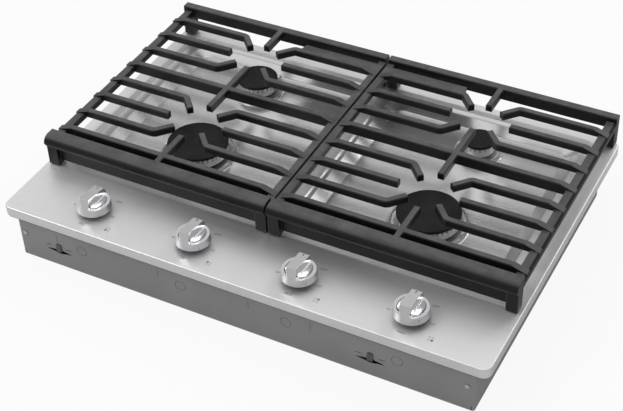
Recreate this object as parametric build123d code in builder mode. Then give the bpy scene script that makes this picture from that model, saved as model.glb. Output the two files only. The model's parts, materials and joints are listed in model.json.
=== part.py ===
from build123d import *
import math
import os

# Four-burner gas cooktop for a worktop cut-out.
# Frame: +Z up, the front edge faces -Y, origin at the middle of the box underside. Millimetres.
# Distances named "from the front" run back from the front edge of the steel top.
# Heights named "above the top" run up from the flat of the steel top, and are negative below it.

# Steel top: a pressed sheet with a folded rim
TOP_WIDTH = 762.0
TOP_DEPTH = 524.0
SHEET = 1.0
RIM_DROP = 15.5
RIM_LIP = 4.0
RIM_CORNER_R = 13.0
RIM_EDGE_R = 2.0

# Recess that holds both wells, with sloped sides
RECESS_SIDE_MARGIN = 22.0
RECESS_REAR_MARGIN = 15.0
RECESS_FRONT = 140.0
RECESS_DROP = 3.0
RECESS_SLOPE = 7.0
RECESS_R = 30.0

# Two wells with a ridge between them
LEDGE_SIDE = 17.0
LEDGE_REAR = 11.0
LEDGE_FRONT = 6.0
RIDGE_WIDTH = 32.0
WELL_DROP = 8.0
WELL_SLOPE = 20.0
WELL_R = 25.0
WELL_FLOOR_R = 12.0
RIB_WIDTH = 14.0
RIB_SLOPE = 4.0
RIB_HEIGHT = 2.0
RIB_END_GAP = 30.0
RIB_END_R = 10.9

# Burner places: both columns from the sides, the front row from the front, the rear row from the rear
BURNER_FROM_SIDE = 190.0
FRONT_ROW = 241.0
REAR_ROW_FROM_REAR = 97.0
CAP_R_FRONT_LEFT = 46.6
CAP_R_FRONT_RIGHT = 47.0
CAP_R_REAR_LEFT = 32.0
CAP_R_REAR_RIGHT = 24.0

# Ring pressed into the floor around a burner, as steps outwards from the cap's edge
RING_LIP_IN = 3.0
RING_LIP_OUT = 7.5
RING_BEAD = 10.0
RING_OUT = 14.0
RING_LIP_RISE = 0.5
RING_BEAD_RISE = 3.5
RING_GROOVE = 1.2
RING_GROOVE_WIDTH = 2.4
RING_GROOVE_SLOPE = 1.0

# Lengths of the cutters that drill through sheets and through the raised beads
DRILL = 6.0
BEAD_DRILL = 14.0

# Burner box under the steel top
BOX_HEIGHT = 87.0
BOX_SIDE_INSET = 19.0
BOX_FRONT_INSET = 5.75
BOX_REAR_INSET = 26.0
BOX_CORNER_R = 4.0
BOX_GAP = 0.5
RELIEF_WIDTH = 1.6
RELIEF_HEIGHT = 7.0
VENT_LENGTH = 40.0
VENT_WIDTH = 5.0
VENT_PITCH = 14.0
VENT_COUNT = 5
VENT_FROM_SIDE = 131.0

# Marks pressed into the box's front wall
DIMPLE_R = 8.5
GROOVE_WIDTH = 0.8
GROOVE_DEPTH = 0.4
DIMPLE_BELOW_TOP = 44.0
LINE_HEIGHT = 15.0
LINE_BELOW_TOP = 36.0
LINE_XS = (-294.0, -120.5, 26.0, 122.0)

# Hold-down openings, clips and screws
HOLD_LEFT_X = -292.6
HOLD_RIGHT_X = 211.5
HOLD_BELOW_TOP = 60.5
HOLD_HALF_WIDTH = 21.0
HOLD_HALF_HEIGHT = 4.2
HOLD_END_HEIGHT = 0.7
HOLD_SLOT_LENGTH = 9.0
HOLD_SLOT_HEIGHT = 1.6
HOLD_SLOT_X = 17.5
HOLD_SLOT_UP = 8.0
CLIP_WIDTH = 30.0
CLIP_HEIGHT = 22.0
CLIP_THICKNESS = 1.2
CLIP_DEPTH = 9.0
TONGUE_WIDTH = 9.0
TONGUE_HEIGHT = 14.0
TONGUE_OUT = 1.6
TONGUE_R = 3.0
HOLD_SCREW_R = 2.0
HOLD_SCREW_HEAD_R = 3.4
HOLD_SCREW_HEAD = 2.0
HOLD_SCREW_LENGTH = 14.0

# Screws that join the box to tabs of the steel top
TAB_WIDTH = 14.0
TAB_BELOW_SCREW = 8.0
FRONT_TAB_INSET = 11.0
FRONT_SCREW_BELOW_TOP = 44.0
SIDE_SCREW_BELOW_TOP = 28.0
SIDE_TAB_YS = (190.0, 420.0)
BOX_SCREW_R = 1.9
BOX_SCREW_HEAD_R = 3.4
BOX_SCREW_HEAD = 1.8
BOX_SCREW_LENGTH = 6.0

# Foam seal under the rim's lip
SEAL_THICKNESS = 1.5
SEAL_WIDTH = 3.0
SEAL_SETBACK = 0.8

# Burner head
HEAD_FLANGE_INSET = 1.0
HEAD_WALL_INSET = 3.5
HEAD_WALL = 5.0
HEAD_FLANGE_ABOVE_TOP = -4.5
HEAD_FLANGE_THICKNESS = 2.0
HEAD_FLOOR = 1.6
HEAD_TOP_ABOVE_TOP = 9.5
MIXER_R = 10.5
MIXER_BORE_R = 9.0
MIXER_LENGTH = 25.0
PORT_WIDTH = 1.6
PORT_HEIGHT = 5.0
PORT_ABOVE_TOP = 4.5
PORT_PITCH = 7.5

# Burner cap
CAP_THICKNESS = 4.5
CAP_EDGE_R = 1.6
CAP_SPIGOT = 2.0
CAP_SPIGOT_WALL = 2.0

# Burner base under the floor of the well
BASE_OUT = 11.0
BASE_THICKNESS = 3.0
BASE_HUB_R = 15.0
BASE_SEAT_R = 17.0
BASE_CUP_DEPTH = 29.0
BASE_CUP_FLOOR = 4.0
BASE_BLOCK_R = 12.0
BASE_BLOCK_HEIGHT = 14.0
BASE_SCREW_R = 1.5
BASE_SCREW_HEAD_R = 2.2
BASE_SCREW_HEAD = 1.4
BASE_SCREW_LENGTH = 7.0
JET_R = 3.0
JET_HEX_R = 4.5
JET_LENGTH = 11.0
JET_HEX_HEIGHT = 5.0
JET_ORIFICE_R = 0.6

# Spark electrode
ELECTRODE_OUT = 5.6
CERAMIC_R = 2.6
CERAMIC_COLLAR_R = 4.0
COLLAR_NOTCH = 0.6
CERAMIC_COLLAR = 2.0
CERAMIC_ABOVE_TOP = 3.0
CERAMIC_BELOW_BASE = 8.0
PIN_R = 1.0
PIN_LENGTH = 4.0
TERMINAL_LENGTH = 5.0

# Knobs, their bezels and stems
KNOB_OUTER_FROM_SIDE = 130.0
KNOB_INNER_X = 84.0
KNOB_ROW = 49.5
KNOB_R = 25.8
KNOB_TOP_R = 21.2
KNOB_HEIGHT = 28.0
KNOB_TOP_TILT = 4.0
KNOB_ABOVE_TOP = 8.0
KNOB_EDGE_R = 0.8
GRIP_WIDTH = 15.5
SHELF_HEIGHT = 10.5
SCOOP_R = 16.0
SCOOP_DEPTH = 2.2
SCOOP_X = 13.0
KNOB_WALL = 2.5
KNOB_CAVITY = 6.5
POINTER_LENGTH = 5.0
POINTER_WIDTH = 1.4
POINTER_DEPTH = 0.4
POINTER_Y = 15.5
BEZEL_R = 18.5
BEZEL_HEIGHT = 9.0
BEZEL_BORE_R = 5.0
BEZEL_EDGE_R = 1.0
PUSH = 3.0
STEM_R = 4.0
STEM_FLAT = 2.6
STEM_FLAT_LENGTH = 21.0
STEM_TOP_IN_KNOB = 22.5
STEM_END_GAP = 0.6
SHAFT_HOLE_R = 6.0
FIT_GAP = 0.05
LOOSE_GAP = 0.3

# Valves on the manifold pipe
VALVE_WIDTH = 22.0
VALVE_DEPTH = 24.0
VALVE_BELOW_TOP = 4.0
VALVE_HEIGHT = 56.0
VALVE_BORE_DEPTH = 28.0
VALVE_EDGE_R = 3.0
CAVITY_R = 7.5
CAVITY_ROOF = 3.0
CAVITY_HEIGHT = 9.0
WASHER_THICKNESS = 1.2
SHOULDER_R = 6.4
SHOULDER_THICKNESS = 1.6
NIPPLE_R = 5.0
NIPPLE_LENGTH = 6.0
NIPPLE_IN_PIPE = 2.5
PIPE_R = 10.0
PIPE_WALL = 2.0
PIPE_BELOW_TOP = 31.0
PIPE_LEFT_FROM_SIDE = 81.0
PIPE_RIGHT_FROM_SIDE = 56.0
PIPE_BEND_R = 32.0
FOOT_WIDTH = 20.0
FOOT_DEPTH = 30.0
FOOT_PLATE = 2.0
FOOT_WEB = 3.0
FOOT_SCREW_Y = 9.0
FOOT_XS = (-170.0, 170.0)
SWITCH_WIDTH = 18.0
SWITCH_DEPTH = 7.0
SWITCH_HEIGHT = 12.0

# Gas inlet through the rear wall
INLET_R = 10.6
INLET_NECK_R = 11.5
INLET_BORE_R = 8.0
INLET_THREAD = 16.0
INLET_RELIEF = 2.0
INLET_RELIEF_R = 9.4
INLET_HEX = 26.0
INLET_HEX_LENGTH = 12.0

# Gas tubes
TUBE_R = 4.0
TUBE_WALL = 1.0
TUBE_BEND_R = 25.0
TUBE_BELOW_CUP = 10.5
TUBE_SEAT = 6.0
TUBE_TURN_BEFORE = 60.0

# Spark module, leads and cable gland
MODULE_WIDTH = 60.0
MODULE_DEPTH = 40.0
MODULE_HEIGHT = 26.0
MODULE_FROM_REAR = 119.0
MODULE_EDGE_R = 3.0
EAR_WIDTH = 12.0
EAR_DEPTH = 14.0
EAR_THICKNESS = 2.0
LEAD_R = 1.6
LEAD_BEND_R = 10.0
LEAD_HEIGHT = 12.0
LEAD_PITCH = 12.0
GLAND_FROM_SIDE = 131.0
GLAND_ABOVE_UNDERSIDE = 40.0
GLAND_R = 7.5
GLAND_FLANGE_R = 11.0
GLAND_FLANGE = 3.0
GLAND_BORE_R = 4.2
GLAND_LENGTH = 12.0
FLOOR_SCREW_R = 2.0
FLOOR_SCREW_HEAD_R = 3.6
FLOOR_SCREW_HEAD = 2.0

# Cast-iron grates, one for each half of the top
GRATE_GAP = 2.0
GRATE_SIDE_INSET = 6.0
GRATE_FRONT = 107.0
GRATE_REAR_MARGIN = 3.0
GRATE_HEIGHT = 53.0
BAR_WIDTH = 10.0
BAR_DEPTH = 11.0
BEAM_DEPTH = 17.0
BAR_EDGE = 1.2
BAR_PITCH = 46.5
BAR_END_INSET = 1.2
FINGER_TIP = 47.0
BEND_DX = 45.0
BENT_TIP = 24.0
BEND_R = 8.0
REAR_SPOKE_TIP = 33.0
BEAM_REAR_SPOKE_TIP = 29.0
BEAM_FRONT_SPOKE_TIP = 39.0
FRONT_SPOKE_TIP = 40.0
RAIL_TOP = 45.0
RAIL_BOTTOM = 34.5
OUTER_RAIL = 15.0
INNER_RAIL = 11.0
RAIL_CHAMFER = 4.0
END_SLOPE_LENGTH = 24.0
FRONT_RAIL = 24.0
FRONT_RAIL_TOP = 12.0
NOSE_HEIGHT = 41.0
NOSE_UNDER = 34.0
NOSE_MID_BACK = 3.0
NOSE_MID_DOWN = 4.0
NOSE_UNDERCUT = 4.3
SKIRT_SETBACK = 13.0
SKIRT_THICKNESS = 8.0
SKIRT_BOTTOM = 8.0
REAR_RAIL = 14.0
WEB_LENGTH = 143.0
WEB_SLANT = 6.0
WEB_THICKNESS = 5.0
LEG = 17.0
LEG_HEIGHT = 33.5
LEG_FRONT_SETBACK = 5.0
PAD_R = 6.0
PAD_HEIGHT = 2.0
PAD_PEG_R = 2.5
PAD_PEG = 5.0

# Worked out from the sizes above
TOP_Z = BOX_HEIGHT + SHEET
HALF_WIDTH = TOP_WIDTH / 2
HALF_DEPTH = TOP_DEPTH / 2
RIM_BOTTOM = TOP_Z - RIM_DROP
FLOOR_Z = TOP_Z - RECESS_DROP - WELL_DROP
BOX_HALF_WIDTH = HALF_WIDTH - BOX_SIDE_INSET
BOX_FRONT_Y = BOX_FRONT_INSET - HALF_DEPTH
BOX_REAR_Y = HALF_DEPTH - BOX_REAR_INSET
KNOB_Y = KNOB_ROW - HALF_DEPTH
KNOB_OUTER_X = HALF_WIDTH - KNOB_OUTER_FROM_SIDE
BURNER_X = HALF_WIDTH - BURNER_FROM_SIDE
PIPE_LEFT_X = HALF_WIDTH - PIPE_LEFT_FROM_SIDE
PIPE_RIGHT_X = HALF_WIDTH - PIPE_RIGHT_FROM_SIDE
PIPE_Z = TOP_Z - PIPE_BELOW_TOP
GLAND_X = GLAND_FROM_SIDE - HALF_WIDTH
VENT_X = HALF_WIDTH - VENT_FROM_SIDE
KNOB_Z = TOP_Z + KNOB_ABOVE_TOP
VALVE_TOP = TOP_Z - VALVE_BELOW_TOP
VALVE_BOTTOM = VALVE_TOP - VALVE_HEIGHT
VALVE_REAR_Y = KNOB_Y + VALVE_DEPTH / 2
PIPE_Y = VALVE_REAR_Y + NIPPLE_LENGTH + PIPE_R
GRATE_TOP = TOP_Z + GRATE_HEIGHT
GRATE_IN = GRATE_GAP
GRATE_OUT = HALF_WIDTH - GRATE_SIDE_INSET
GRATE_FRONT_Y = GRATE_FRONT - HALF_DEPTH
GRATE_REAR_Y = HALF_DEPTH - GRATE_REAR_MARGIN

KNOBS = {
    "1": -KNOB_OUTER_X,
    "2": -KNOB_INNER_X,
    "3": KNOB_INNER_X,
    "4": KNOB_OUTER_X,
}

# Each burner's place, the radius of its cap and the angle at which its electrode stands
FRONT_Y = FRONT_ROW - HALF_DEPTH
REAR_Y = HALF_DEPTH - REAR_ROW_FROM_REAR
BURNERS = {
    "front_left": (-BURNER_X, FRONT_Y),
    "front_right": (BURNER_X, FRONT_Y),
    "rear_left": (-BURNER_X, REAR_Y),
    "rear_right": (BURNER_X, REAR_Y),
}
CAP_RADII = {
    "front_left": CAP_R_FRONT_LEFT,
    "front_right": CAP_R_FRONT_RIGHT,
    "rear_left": CAP_R_REAR_LEFT,
    "rear_right": CAP_R_REAR_RIGHT,
}
ELECTRODE_ANGLES = {"front_left": 135, "front_right": 135, "rear_left": 45, "rear_right": 45}
KNOB_OF = {"front_left": "1", "rear_left": "2", "rear_right": "3", "front_right": "4"}

os.makedirs("parts", exist_ok=True)


def save(builder, name):
    builder.part.label = name
    export_step(builder.part, f"parts/{name}.step")


def rectangle(x0, x1, y0, y1, radius):
    with Locations(((x0 + x1) / 2, (y0 + y1) / 2)):
        RectangleRounded(x1 - x0, y1 - y0, radius)


def pressing(z_top, upper, z_bottom, lower, mode):
    # A sloped pressing between two rounded rectangles (x0, x1, y0, y1, radius).
    with BuildSketch(Plane.XY.offset(z_top)) as top_outline:
        rectangle(*upper)
    with BuildSketch(Plane.XY.offset(z_bottom)) as bottom_outline:
        rectangle(*lower)
    loft([top_outline.sketch, bottom_outline.sketch], ruled=True, mode=mode)


def grown(outline, amount):
    x0, x1, y0, y1, radius = outline
    return (x0 - amount, x1 + amount, y0 - amount, y1 + amount, radius + amount)


def section_at(x, y):
    # Upright plane through a vertical axis: local x is the radius, local y is the height.
    return Plane(origin=(x, y, 0), x_dir=(1, 0, 0), z_dir=(0, -1, 0))


def turned(x, y, points):
    # Solid of revolution about the vertical axis through (x, y), from (radius, z) points.
    with BuildSketch(section_at(x, y)) as profile:
        with BuildLine():
            Polyline(*points, close=True)
        make_face()
    revolve(profile.sketch, axis=Axis((x, y, 0), (0, 0, 1)))


def electrode_place(burner):
    x, y = BURNERS[burner]
    reach = CAP_RADII[burner] + ELECTRODE_OUT
    angle = math.radians(ELECTRODE_ANGLES[burner])
    return (x + reach * math.cos(angle), y + reach * math.sin(angle))


def base_screw_places(burner):
    x, y = BURNERS[burner]
    reach = CAP_RADII[burner] + (RING_LIP_IN + RING_LIP_OUT) / 2
    return ((x, y + reach), (x, y - reach))


# Outlines of the pressings in the steel top
recess_top = (
    RECESS_SIDE_MARGIN - HALF_WIDTH,
    HALF_WIDTH - RECESS_SIDE_MARGIN,
    RECESS_FRONT - HALF_DEPTH,
    HALF_DEPTH - RECESS_REAR_MARGIN,
    RECESS_R,
)
recess_floor = grown(recess_top, -RECESS_SLOPE)
well_top = (
    RIDGE_WIDTH / 2,
    recess_floor[1] - LEDGE_SIDE,
    recess_floor[2] + LEDGE_FRONT,
    recess_floor[3] - LEDGE_REAR,
    WELL_R,
)
well_floor = (
    well_top[0] + WELL_SLOPE,
    well_top[1] - WELL_SLOPE,
    well_top[2] + WELL_SLOPE,
    well_top[3] - WELL_SLOPE,
    WELL_FLOOR_R,
)
wells = (
    (well_top, well_floor),
    (
        (-well_top[1], -well_top[0], *well_top[2:]),
        (-well_floor[1], -well_floor[0], *well_floor[2:]),
    ),
)
rib_foot = (
    -RIB_WIDTH / 2 - RIB_SLOPE,
    RIB_WIDTH / 2 + RIB_SLOPE,
    well_top[2] + RIB_END_GAP,
    well_top[3] - RIB_END_GAP,
    RIB_END_R,
)
rib_crest = grown(rib_foot, -RIB_SLOPE)
RECESS_Z = TOP_Z - RECESS_DROP
FRONT_TAB_X = BOX_HALF_WIDTH - FRONT_TAB_INSET
EAR_X = (MODULE_WIDTH + EAR_WIDTH) / 2
MODULE_Y = HALF_DEPTH - MODULE_FROM_REAR
FLOOR_SCREWS = [(x, PIPE_Y + FOOT_SCREW_Y) for x in FOOT_XS]
FLOOR_SCREWS += [(-EAR_X, MODULE_Y), (EAR_X, MODULE_Y)]

# Steel top
with BuildPart() as steel_top:
    with BuildSketch(Plane.XY.offset(RIM_BOTTOM)):
        RectangleRounded(TOP_WIDTH, TOP_DEPTH, RIM_CORNER_R)
    extrude(amount=RIM_DROP)
    fillet(steel_top.faces().sort_by(Axis.Z)[-1].edges(), RIM_EDGE_R)
    # hollow under the sheet, inside the rim and above its lip
    with BuildSketch(Plane.XY.offset(RIM_BOTTOM + SHEET)):
        RectangleRounded(TOP_WIDTH - 2 * SHEET, TOP_DEPTH - 2 * SHEET, RIM_CORNER_R - SHEET)
    extrude(amount=RIM_DROP - 2 * SHEET, mode=Mode.SUBTRACT)
    with BuildSketch(Plane.XY.offset(RIM_BOTTOM)):
        RectangleRounded(TOP_WIDTH - 2 * RIM_LIP, TOP_DEPTH - 2 * RIM_LIP, RIM_CORNER_R - RIM_LIP)
    extrude(amount=SHEET, mode=Mode.SUBTRACT)
    # undersides of the pressings first, then their upper sides cut away
    pressing(TOP_Z, grown(recess_top, SHEET), RECESS_Z - SHEET, grown(recess_floor, SHEET), Mode.ADD)
    for upper, lower in wells:
        pressing(RECESS_Z, grown(upper, SHEET), FLOOR_Z - SHEET, grown(lower, SHEET), Mode.ADD)
    pressing(TOP_Z, recess_top, RECESS_Z, recess_floor, Mode.SUBTRACT)
    for upper, lower in wells:
        pressing(RECESS_Z, upper, FLOOR_Z, lower, Mode.SUBTRACT)
    pressing(RECESS_Z, rib_foot, RECESS_Z + RIB_HEIGHT, rib_crest, Mode.ADD)
    # rings around the burners
    for burner, (x, y) in BURNERS.items():
        cap_r = CAP_RADII[burner]
        with Locations((x, y, FLOOR_Z)):
            Cylinder(cap_r + RING_OUT, DRILL, mode=Mode.SUBTRACT)
        upper_side = [
            (cap_r + RING_OUT, 0),
            (cap_r + RING_OUT - RING_GROOVE_SLOPE, -RING_GROOVE),
            (cap_r + RING_OUT - RING_GROOVE_WIDTH, -RING_GROOVE),
            (cap_r + RING_BEAD, RING_BEAD_RISE),
            (cap_r + RING_LIP_OUT, RING_LIP_RISE),
            (cap_r + RING_LIP_IN, RING_LIP_RISE),
        ]
        above = [(r, FLOOR_Z + h) for r, h in upper_side]
        below = [(r, z - SHEET) for r, z in reversed(above)]
        turned(x, y, above + below)
    # holes for knob shafts, electrodes and burner screws
    with Locations(*[(x, KNOB_Y, TOP_Z) for x in KNOBS.values()]):
        Cylinder(SHAFT_HOLE_R, DRILL, mode=Mode.SUBTRACT)
    for burner in BURNERS:
        ex, ey = electrode_place(burner)
        with Locations((ex, ey, FLOOR_Z)):
            Cylinder(CERAMIC_COLLAR_R + COLLAR_NOTCH, BEAD_DRILL, mode=Mode.SUBTRACT)
        with Locations(*[(sx, sy, FLOOR_Z) for sx, sy in base_screw_places(burner)]):
            Cylinder(BASE_SCREW_R, DRILL, mode=Mode.SUBTRACT)
save(steel_top, "steel_top")

# Brackets under the steel top that stand inside the box walls, with screw holes
with BuildPart() as top_brackets:
    for side in (-1, 1):
        tab_height = FRONT_SCREW_BELOW_TOP + TAB_BELOW_SCREW - SHEET
        tab_y = BOX_FRONT_Y + SHEET + SHEET / 2
        with Locations((side * FRONT_TAB_X, tab_y, BOX_HEIGHT - tab_height / 2)):
            Box(TAB_WIDTH, SHEET, tab_height)
        with Locations((side * FRONT_TAB_X, BOX_FRONT_Y, TOP_Z - FRONT_SCREW_BELOW_TOP)):
            Cylinder(BOX_SCREW_R, DRILL, rotation=(90, 0, 0), mode=Mode.SUBTRACT)
        tab_height = SIDE_SCREW_BELOW_TOP + TAB_BELOW_SCREW - SHEET
        for row in SIDE_TAB_YS:
            tab_x = side * (BOX_HALF_WIDTH - SHEET - SHEET / 2)
            with Locations((tab_x, row - HALF_DEPTH, BOX_HEIGHT - tab_height / 2)):
                Box(SHEET, TAB_WIDTH, tab_height)
            with Locations((tab_x, row - HALF_DEPTH, TOP_Z - SIDE_SCREW_BELOW_TOP)):
                Cylinder(BOX_SCREW_R, DRILL, rotation=(0, 90, 0), mode=Mode.SUBTRACT)
save(top_brackets, "top_brackets")

# Seal ring under the rim's lip
with BuildPart() as rim_seal:
    with BuildSketch(Plane.XY.offset(RIM_BOTTOM)):
        outer = RIM_CORNER_R - SEAL_SETBACK
        RectangleRounded(TOP_WIDTH - 2 * SEAL_SETBACK, TOP_DEPTH - 2 * SEAL_SETBACK, outer)
        inset = SEAL_SETBACK + SEAL_WIDTH
        inner = RIM_CORNER_R - inset
        RectangleRounded(TOP_WIDTH - 2 * inset, TOP_DEPTH - 2 * inset, inner, mode=Mode.SUBTRACT)
    extrude(amount=-SEAL_THICKNESS)
save(rim_seal, "rim_seal")

# Burner box: shaped as one tray, then parted into a floor pan and four walls that meet in mitres
HOLD_Z = TOP_Z - HOLD_BELOW_TOP
BOX_WIDTH = 2 * BOX_HALF_WIDTH
BOX_DEPTH = BOX_REAR_Y - BOX_FRONT_Y
BOX_MID_Y = (BOX_REAR_Y + BOX_FRONT_Y) / 2
front_wall = Plane(origin=(0, BOX_FRONT_Y, 0), x_dir=(1, 0, 0), z_dir=(0, -1, 0))
with BuildPart() as tray:
    with BuildSketch():
        with Locations((0, BOX_MID_Y)):
            RectangleRounded(BOX_WIDTH, BOX_DEPTH, BOX_CORNER_R)
    extrude(amount=BOX_HEIGHT)
    with BuildSketch(Plane.XY.offset(SHEET)):
        with Locations((0, BOX_MID_Y)):
            RectangleRounded(BOX_WIDTH - 2 * SHEET, BOX_DEPTH - 2 * SHEET, BOX_CORNER_R - SHEET)
    extrude(amount=BOX_HEIGHT, mode=Mode.SUBTRACT)
    # the rear wall stops under the recess of the steel top
    with BuildSketch(Plane.XY.offset(RECESS_Z - SHEET)):
        rectangle(*grown(recess_top, SHEET + BOX_GAP / 2))
    extrude(amount=RECESS_DROP + SHEET, mode=Mode.SUBTRACT)
    # grooves of the pressed circles and lines
    with BuildSketch(front_wall):
        with Locations(*[(x, TOP_Z - DIMPLE_BELOW_TOP) for x in KNOBS.values()]):
            Circle(DIMPLE_R)
            Circle(DIMPLE_R - GROOVE_WIDTH, mode=Mode.SUBTRACT)
        with Locations(*[(x, TOP_Z - LINE_BELOW_TOP) for x in LINE_XS]):
            Rectangle(GROOVE_WIDTH, LINE_HEIGHT)
    extrude(amount=-GROOVE_DEPTH, mode=Mode.SUBTRACT)
    # hold-down openings, their slots, screw holes and corner reliefs
    with BuildSketch(front_wall):
        for hold_x in (HOLD_LEFT_X, HOLD_RIGHT_X):
            with BuildLine():
                Polyline(
                    (hold_x - HOLD_HALF_WIDTH, HOLD_Z - HOLD_END_HEIGHT),
                    (hold_x, HOLD_Z - HOLD_HALF_HEIGHT),
                    (hold_x + HOLD_HALF_WIDTH, HOLD_Z - HOLD_END_HEIGHT),
                    (hold_x + HOLD_HALF_WIDTH, HOLD_Z + HOLD_END_HEIGHT),
                    (hold_x, HOLD_Z + HOLD_HALF_HEIGHT),
                    (hold_x - HOLD_HALF_WIDTH, HOLD_Z + HOLD_END_HEIGHT),
                    close=True,
                )
            make_face()
            for side in (-1, 1):
                with Locations((hold_x + side * HOLD_SLOT_X, HOLD_Z + HOLD_SLOT_UP)):
                    Rectangle(HOLD_SLOT_LENGTH, HOLD_SLOT_HEIGHT)
        for side in (-1, 1):
            with Locations((side * FRONT_TAB_X, TOP_Z - FRONT_SCREW_BELOW_TOP)):
                Circle(BOX_SCREW_R)
            relief_x = side * (BOX_HALF_WIDTH - BOX_CORNER_R)
            with Locations((relief_x, SHEET + RELIEF_HEIGHT / 2)):
                Rectangle(RELIEF_WIDTH, RELIEF_HEIGHT)
    extrude(amount=-SHEET, mode=Mode.SUBTRACT)
    # screw holes in the side walls
    for side in (-1, 1):
        for row in SIDE_TAB_YS:
            with Locations((side * BOX_HALF_WIDTH, row - HALF_DEPTH, TOP_Z - SIDE_SCREW_BELOW_TOP)):
                Cylinder(BOX_SCREW_R, DRILL, rotation=(0, 90, 0), mode=Mode.SUBTRACT)
    # holes in the rear wall for the gas inlet and the cable gland
    with Locations((PIPE_RIGHT_X, BOX_REAR_Y, PIPE_Z)):
        Cylinder(INLET_NECK_R, DRILL, rotation=(90, 0, 0), mode=Mode.SUBTRACT)
    with Locations((GLAND_X, BOX_REAR_Y, GLAND_ABOVE_UNDERSIDE)):
        Cylinder(GLAND_R, DRILL, rotation=(90, 0, 0), mode=Mode.SUBTRACT)
    # vents in the floor
    with BuildSketch():
        for side in (-1, 1):
            with Locations((side * VENT_X, 0)):
                with GridLocations(VENT_PITCH, 0, VENT_COUNT, 1):
                    SlotOverall(VENT_LENGTH, VENT_WIDTH, rotation=90)
    extrude(amount=SHEET, mode=Mode.SUBTRACT)
    # holes for the floor screws
    with Locations(*[(x, y, 0) for x, y in FLOOR_SCREWS]):
        Cylinder(FLOOR_SCREW_R, DRILL, mode=Mode.SUBTRACT)

with BuildPart() as box_floor:
    add(tray.part)
    split(bisect_by=Plane.XY.offset(SHEET), keep=Keep.BOTTOM)
save(box_floor, "box_floor")

front_left_mitre = Plane(origin=(-BOX_HALF_WIDTH, BOX_FRONT_Y, 0), z_dir=(1, -1, 0))
front_right_mitre = Plane(origin=(BOX_HALF_WIDTH, BOX_FRONT_Y, 0), z_dir=(-1, -1, 0))
rear_left_mitre = Plane(origin=(-BOX_HALF_WIDTH, BOX_REAR_Y, 0), z_dir=(1, 1, 0))
rear_right_mitre = Plane(origin=(BOX_HALF_WIDTH, BOX_REAR_Y, 0), z_dir=(-1, 1, 0))
WALL_MITRES = {
    "front": (front_left_mitre, front_right_mitre, Keep.TOP),
    "rear": (rear_left_mitre, rear_right_mitre, Keep.TOP),
    "left": (front_left_mitre, rear_left_mitre, Keep.BOTTOM),
    "right": (front_right_mitre, rear_right_mitre, Keep.BOTTOM),
}
for name, (first_mitre, second_mitre, side_kept) in WALL_MITRES.items():
    with BuildPart() as box_wall:
        add(tray.part)
        split(bisect_by=Plane.XY.offset(SHEET), keep=Keep.TOP)
        split(bisect_by=first_mitre, keep=side_kept)
        split(bisect_by=second_mitre, keep=side_kept)
    save(box_wall, f"box_{name}_wall")

# Hold-down clips, each with a tongue on the wall's outer face and its screw
CLIP_BACK_Y = BOX_FRONT_Y + SHEET + CLIP_DEPTH
CLIP_SCREW_Z = HOLD_Z - HOLD_SCREW_HEAD_R
clips = []
for hold_x in (HOLD_LEFT_X, HOLD_RIGHT_X):
    with BuildPart() as clip:
        with Locations((hold_x, CLIP_BACK_Y + CLIP_THICKNESS / 2, HOLD_Z)):
            Box(CLIP_WIDTH, CLIP_THICKNESS, CLIP_HEIGHT)
        ledge_z = HOLD_Z + (CLIP_HEIGHT - CLIP_THICKNESS) / 2
        with Locations((hold_x, CLIP_BACK_Y - CLIP_DEPTH / 2, ledge_z)):
            Box(CLIP_WIDTH, CLIP_DEPTH, CLIP_THICKNESS)
        link = CLIP_DEPTH + SHEET + TONGUE_OUT
        with Locations((hold_x, CLIP_BACK_Y - link / 2, HOLD_Z + CLIP_THICKNESS)):
            Box(TONGUE_WIDTH, link, CLIP_THICKNESS)
        tongue_z = HOLD_Z + (TONGUE_HEIGHT + CLIP_THICKNESS) / 2
        with Locations((hold_x, BOX_FRONT_Y - TONGUE_OUT / 2, tongue_z)):
            Box(TONGUE_WIDTH, TONGUE_OUT, TONGUE_HEIGHT)
        tongue_edges = clip.edges().filter_by(Axis.Y).group_by(Axis.Y)[0]
        fillet(tongue_edges.group_by(Axis.Z)[-1], TONGUE_R)
        with Locations((hold_x, CLIP_BACK_Y, CLIP_SCREW_Z)):
            Cylinder(HOLD_SCREW_R, DRILL, rotation=(90, 0, 0), mode=Mode.SUBTRACT)
    clips.append(clip.part)

with BuildPart() as hold_down_clips:
    for piece in clips:
        add(piece)
save(hold_down_clips, "hold_down_clips")


def screw(seat, shank_r, length, head_r, head):
    # A screw on a seat plane whose z axis points out of the head.
    with Locations(seat.location):
        Cylinder(head_r, head, align=(Align.CENTER, Align.CENTER, Align.MIN))
        Cylinder(shank_r, length, align=(Align.CENTER, Align.CENTER, Align.MAX))


with BuildPart() as hold_down_screws:
    for hold_x in (HOLD_LEFT_X, HOLD_RIGHT_X):
        seat = Plane(origin=(hold_x, CLIP_BACK_Y, CLIP_SCREW_Z), z_dir=(0, -1, 0))
        screw(seat, HOLD_SCREW_R, HOLD_SCREW_LENGTH, HOLD_SCREW_HEAD_R, HOLD_SCREW_HEAD)
save(hold_down_screws, "hold_down_screws")

# Screws that hold the box to the tabs
with BuildPart() as box_screws:
    for side in (-1, 1):
        place = (side * FRONT_TAB_X, BOX_FRONT_Y, TOP_Z - FRONT_SCREW_BELOW_TOP)
        seat = Plane(origin=place, z_dir=(0, -1, 0))
        screw(seat, BOX_SCREW_R, BOX_SCREW_LENGTH, BOX_SCREW_HEAD_R, BOX_SCREW_HEAD)
        for row in SIDE_TAB_YS:
            place = (side * BOX_HALF_WIDTH, row - HALF_DEPTH, TOP_Z - SIDE_SCREW_BELOW_TOP)
            seat = Plane(origin=place, z_dir=(side, 0, 0))
            screw(seat, BOX_SCREW_R, BOX_SCREW_LENGTH, BOX_SCREW_HEAD_R, BOX_SCREW_HEAD)
save(box_screws, "box_screws")

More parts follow.
